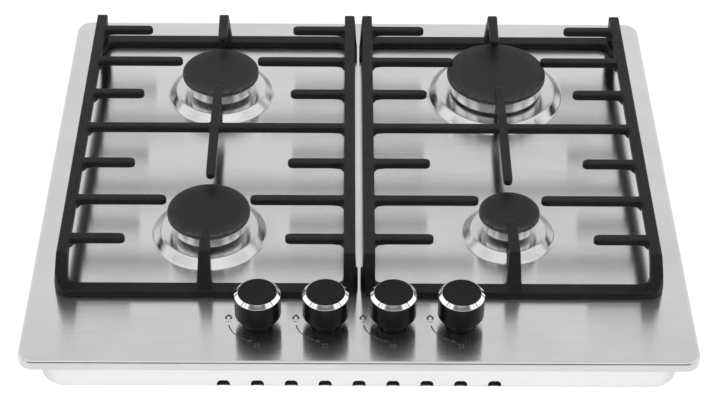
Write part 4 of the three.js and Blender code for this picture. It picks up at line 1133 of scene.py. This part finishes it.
def electrode(name):
    """A glazed ceramic body with a collar, and a bent steel pin that the spark leaves from."""
    where = centre_mm(f"electrode_{name}")
    radius = ELECTRODE_RADIUS
    collar = radius + ELECTRODE_COLLAR
    curve = ELECTRODE_COLLAR_ROUND
    shoulder = ELECTRODE_SHOULDER_ROUND
    neck = ELECTRODE_SHOULDER + ELECTRODE_NECK
    profile = [(0, ELECTRODE_FOOT), (radius - ELECTRODE_FOOT_EDGE, ELECTRODE_FOOT)]
    profile += [(radius, ELECTRODE_FOOT + ELECTRODE_FOOT_RISE), (radius, PROBE_SEAT)]
    profile += [(collar - ELECTRODE_COLLAR_LEAN, PROBE_SEAT), (collar, PROBE_SEAT + curve)]
    profile += arc(collar - curve, PROBE_SEAT + ELECTRODE_COLLAR_RISE, curve, 0, 90, 3)
    profile += [(radius, PROBE_SEAT + ELECTRODE_COLLAR_HEIGHT)]
    profile += arc(
        radius - shoulder, ELECTRODE_SHOULDER - ELECTRODE_SHOULDER_DROP, shoulder, 0, 70, 4
    )
    profile += [(PIN_RADIUS + PIN_SEAT, neck), (0, neck)]
    body = lathe(f"ceramic_body_{name}", profile, where.x, where.y, "hob", "ceramic", steps=40)
    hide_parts(f"electrode_{name}")
    spark_pin(name, where)


def spark_pin(name, where):
    """A wire that leaves the ceramic upward and bends over toward the burner."""
    x, y, _ = burner_facts(name)
    ahead = Vector((x - where.x, y - where.y, 0)).normalized()
    across = Vector((-ahead.y, ahead.x, 0))
    foot = Vector((where.x, where.y, PLATE_TOP))
    path = [foot + Vector((0, 0, ELECTRODE_SHOULDER))]
    for along, height in arc(PIN_BEND, ELECTRODE_TIP - PIN_RADIUS - PIN_BEND, PIN_BEND, 180, 90, 5):
        path.append(foot + ahead * along + Vector((0, 0, height)))
    path.append(path[-1] + ahead * PIN_REACH)
    path.append(path[-1] + ahead * PIN_POINT)
    radii = [PIN_RADIUS] * (len(path) - 1) + [PIN_RADIUS * PIN_POINT_SHARE]
    mesh = bmesh.new()
    tube(mesh, path, radii, across, sides=16)
    smooth(piece(f"spark_pin_{name}", mesh, "hob", "spindle"))


def flame_sensor(name):
    """A thermocouple's thin stem with a rounded copper tip, and the nut that holds it."""
    where = centre_mm(f"flame_sensor_{name}")
    radius = SENSOR_RADIUS
    nut_top = PROBE_SEAT + SENSOR_NUT_HEIGHT
    stem = radius - SENSOR_STEM_INSET
    tip = SENSOR_TIP_RADIUS
    tip_foot = SENSOR_TIP - SENSOR_TIP_LENGTH
    profile = [(0, SENSOR_FOOT), (radius, SENSOR_FOOT), (radius, nut_top + SENSOR_SHANK)]
    profile += [(stem, nut_top + SENSOR_TAPER_TOP), (stem, tip_foot)]
    profile += [(tip, tip_foot + SENSOR_TIP_STEP)]
    profile += arc(0, SENSOR_TIP - tip, tip, 0, 90, 6)[:-1] + [(0, SENSOR_TIP)]
    obj = lathe(f"sensor_stem_{name}", profile, where.x, where.y, "hob", "sensor", steps=32)
    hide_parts(f"flame_sensor_{name}")
    sensor_nut(name, where)


def sensor_nut(name, where):
    """A hexagonal nut on the boss, with softened rims."""
    top = SENSOR_NUT_HEIGHT
    levels = [(SENSOR_NUT_EDGE, 0), (0, SENSOR_NUT_BEVEL)]
    levels += [(0, top - SENSOR_NUT_BEVEL), (SENSOR_NUT_EDGE, top)]
    mesh = bmesh.new()
    rings = []
    for inset, height in levels:
        points = circle(where.x, where.y, SENSOR_NUT_RADIUS - inset, steps=6)
        z = PLATE_TOP + PROBE_SEAT + height
        rings.append(add_ring(mesh, [(*point, z) for point in points]))
    closed_block(mesh, rings)
    smooth(piece(f"sensor_nut_{name}", mesh, "hob", "brass"))


# ---------------- knobs


def knob_profile(radius, face):
    """Socket, neck, skirt and side up to the shelf for the ring, and the slightly hollow face."""
    neck = KNOB_NECK_RADIUS
    fillet = KNOB_NECK_FILLET
    foot = KNOB_FOOT_ROUND
    edge = KNOB_FACE_PROUD
    shelf = KNOB_TOP - KNOB_BEVEL - KNOB_SHELF_DROP
    profile = [(KNOB_SOCKET_RADIUS, KNOB_SOCKET_TOP), (KNOB_SOCKET_RADIUS, -KNOB_NECK_DIP)]
    profile += [(neck, -KNOB_NECK_DIP), (neck, KNOB_SKIRT - fillet)]
    profile += arc(neck + fillet, KNOB_SKIRT - fillet, fillet, 180, 90, 3)
    profile += arc(radius - foot, KNOB_SKIRT + foot, foot, 270, 360, 4)
    profile += [(radius, shelf - KNOB_SHELF_EDGE), (radius - KNOB_SHELF_EDGE, shelf)]
    profile += [(face, shelf), (face, KNOB_TOP - edge)]
    profile += arc(face - edge, KNOB_TOP - edge, edge, 0, 90, 4)
    profile += [(face - FACE_EDGE_RUN, KNOB_TOP - FACE_EDGE_DIP)]
    profile += [(face * FACE_MIDDLE_SHARE, KNOB_TOP - FACE_MIDDLE_DIP)]
    profile += [(0, KNOB_TOP - FACE_CENTRE_DIP)]
    return profile


def ring_profile(radius, face):
    """The bright ring's closed section: a bevel from the knob's side up to its face."""
    land = KNOB_TOP - KNOB_BEVEL
    rim = KNOB_TOP - KNOB_FACE_PROUD
    wall = face + RING_WALL
    inner = face + RING_GAP
    foot = land - RING_DEPTH
    profile = [(wall, foot), (radius - RING_LOWER_EDGE, foot), (radius, foot + RING_LOWER_EDGE)]
    profile += [(radius, land - RING_LAND_EDGE), (radius - RING_BEVEL_EDGE, land + RING_LAND_EDGE)]
    profile += [(wall, rim - RING_BEVEL_EDGE), (face + RING_RIM_INSET, rim)]
    profile += [(inner, rim - RING_GAP), (inner, foot), (wall, foot)]
    return profile


def knob(name):
    """The black knob and its bright ring."""
    where = centre_mm(f"knob_{name}")
    radius = KNOB_RADIUS
    face = radius - KNOB_BEVEL_RUN - KNOB_FACE_GAP
    body = f"knob_{name}"
    profile = knob_profile(radius, face)
    obj = lathe(f"knob_body_{name}", profile, where.x, where.y, body, "knob", FINE_SIDES)
    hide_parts(f"knob_{name}")
    profile = ring_profile(radius, face)
    ring = lathe(f"chrome_ring_{name}", profile, where.x, where.y, body, "knob_ring", steps=160)
    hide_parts(f"knob_ring_{name}")


# ---------------- pan supports


def grate(side):
    """The casting of the frame with its edges rounded and its corners filled, as cast."""
    node = f"grate_{side}"
    obj = place_object(f"cast_support_{side}", frame["nodes"][node].data.copy())
    remesh = obj.modifiers.new("cast", "REMESH")
    remesh.mode = "VOXEL"
    remesh.voxel_size = CAST_GRAIN * MM
    remesh.use_smooth_shade = True
    soften = obj.modifiers.new("soften", "SMOOTH")
    soften.factor = CAST_SOFTNESS
    soften.iterations = CAST_ROUNDS
    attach(obj, node)
    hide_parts(node)


# ---------------- camera, light and floor

# The photograph's view. Lens and sensor in millimetres, angles in degrees, place in metres.
LENS = 99.44
SENSOR = 36
PITCH = 39.39
YAW = 0.529
ROLL = -0.570
CAMERA_AT = (-0.0129, -1.4604, 1.2112)

WORLD_LEVEL = 0.6

# What shiny faces mirror: levels low down and high up, behind the object, on the camera's side
# and at the sides, and the sines of the elevations between which each level changes.
BACK_WALL = (0.72, 1.04)
BACK_RISES = (0.02, 0.30)
BACK_DIMS = (0.48, 0.76)
BACK_TOP_SHARE = 0.78
NEAR_WALL = (0.18, 1.25)
NEAR_RISES = (0.70, 0.78)
SIDE_WALL = (0.7, 1.15)
SIDE_RISES = (0.0, 0.06)
ROOF_STARTS = (0.80, 0.87)

# Where the side walls and the back wall take over, in radians from the camera's side.
SIDE_STARTS = (math.radians(38), math.radians(55))
BACK_STARTS = (math.radians(118), math.radians(150))

# Narrow gaps in those walls: degrees from the camera's side, half-width in degrees, depth.
WALL_GAPS = ((0, 18, 0.2), (64, 7, 0.3), (78, 3.5, 0.85), (130, 5, 0.3))
GAP_CORE_SHARE = 0.3

FLOOR_SIZE = 4
FLOOR_DROP = 0.0004
FLOOR_TONE = 0.8
FLOOR_ROUGHNESS = 0.9
FLOOR_GLOW = 1.15
FLOOR_GLOW_SHARE = 0.85


def camera():
    """The photograph's view: looking down from the front, just left of the middle."""
    data = bpy.data.cameras.new("view")
    data.lens = LENS
    data.sensor_width = SENSOR
    pitch = math.radians(PITCH)
    yaw = math.radians(YAW)
    roll = math.radians(ROLL)
    ahead = Vector(
        (math.sin(yaw) * math.cos(pitch), math.cos(yaw) * math.cos(pitch), -math.sin(pitch))
    )
    right = Vector((math.cos(yaw), -math.sin(yaw), 0))
    down = ahead.cross(right)
    right_rolled = right * math.cos(roll) + down * math.sin(roll)
    down_rolled = down * math.cos(roll) - right * math.sin(roll)
    obj = place_object("view", data)
    columns = Matrix((right_rolled, -down_rolled, -ahead)).transposed()
    obj.matrix_world = Matrix.Translation(CAMERA_AT) @ columns.to_4x4()
    bpy.context.scene.camera = obj


def lamp(name, width, depth, power, place, target):
    """A soft box that lights the object but isn't mirrored in it."""
    data = bpy.data.lights.new(name, "AREA")
    data.shape = "RECTANGLE"
    data.size = width
    data.size_y = depth
    data.energy = power
    obj = place_object(name, data)
    obj.visible_glossy = False
    direction = Vector(target) - Vector(place)
    turn = direction.to_track_quat("-Z", "Y").to_matrix().to_4x4()
    obj.matrix_world = Matrix.Translation(place) @ turn


def studio_level(n):
    """What shiny faces mirror: soft walls, dim near the horizon, with narrow gaps in them."""
    ahead = n.node("ShaderNodeTexCoord", {}).outputs["Generated"]
    x, y, z = n.node("ShaderNodeSeparateXYZ", {0: ahead}).outputs
    azimuth = n.math("ARCTAN2", n.math("ABSOLUTE", x), n.math("MULTIPLY", y, -1))
    dim = n.ramp(z, *BACK_DIMS, 1, BACK_TOP_SHARE)
    back = n.math("MULTIPLY", n.ramp(z, *BACK_RISES, *BACK_WALL), dim)
    near = n.ramp(z, *NEAR_RISES, *NEAR_WALL)
    side = n.ramp(z, *SIDE_RISES, *SIDE_WALL)
    level = n.choose(n.ramp(azimuth, *SIDE_STARTS, 0, 1), near, side)
    level = n.choose(n.ramp(azimuth, *BACK_STARTS, 0, 1), level, back)
    below_roof = n.ramp(z, *ROOF_STARTS, 1, 0)
    for middle, half_width, depth in WALL_GAPS:
        off = n.math("ABSOLUTE", n.math("SUBTRACT", azimuth, math.radians(middle)))
        half = math.radians(half_width)
        inside = n.ramp(off, half * GAP_CORE_SHARE, half, depth, 0)
        kept = n.math("SUBTRACT", 1, n.math("MULTIPLY", inside, below_roof))
        level = n.math("MULTIPLY", level, kept)
    return level


def world():
    """Even soft light, a studio that only mirrored rays meet, and a white background."""
    made = bpy.data.worlds.new("studio")
    made.use_nodes = True
    n = Nodes(made.node_tree)
    lit = n.choose(n.ray("Glossy"), WORLD_LEVEL, studio_level(n))
    background = n.tree.nodes["Background"]
    n.feed(background.inputs["Color"], grey(1.0))
    n.feed(background.inputs["Strength"], n.choose(n.clear_ray(), lit, 1.0))
    bpy.context.scene.world = made


def floor_paint():
    """Plain pale paint that glows for the rays that see it directly or mirrored."""
    g = Graph("floor")
    g.set("Base Color", grey(FLOOR_TONE))
    g.set("Roughness", FLOOR_ROUGHNESS)
    g.set("Specular IOR Level", 0)
    plain = g.shader.outputs[0]
    glow = g.node("ShaderNodeEmission", {"Strength": FLOOR_GLOW}).outputs[0]
    bright = g.node("ShaderNodeMixShader", {0: FLOOR_GLOW_SHARE, 1: plain, 2: glow}).outputs[0]
    seen = g.math("MAXIMUM", g.clear_ray(), g.ray("Glossy"))
    paint = g.node("ShaderNodeMixShader", {0: seen, 1: plain, 2: bright}).outputs[0]
    g.feed(g.tree.nodes["Material Output"].inputs["Surface"], paint)
    return g.material


def floor():
    """A pale floor that shows white with a faint shadow."""
    mesh = bmesh.new()
    bmesh.ops.create_grid(mesh, x_segments=1, y_segments=1, size=FLOOR_SIZE)
    data = bpy.data.meshes.new("floor")
    mesh.to_mesh(data)
    mesh.free()
    data.materials.append(floor_paint())
    obj = place_object("floor", data)
    obj.location.z = cad_box[0][2] - FLOOR_DROP


# ---------------- assembly

dress_frame()
plate()
base_pan()
for corner in ("front_left", "back_left", "front_right", "back_right"):
    clamp(corner)
for burner in BURNERS:
    cap(burner)
    crown(burner)
    electrode(burner)
    flame_sensor(burner)
    knob(burner)
    printed_marks(burner)
for end in ("left", "right"):
    grate(end)
camera()
world()
floor()
lamp("overhead", width=1.8, depth=1.2, power=12, place=(0, -0.3, 1.9), target=(0, 0, 0))
lamp("front", width=2.4, depth=0.8, power=22, place=(0, -2.2, 0.6), target=(0, 0, 0.05))

bpy.context.scene.view_settings.view_transform = "Standard"
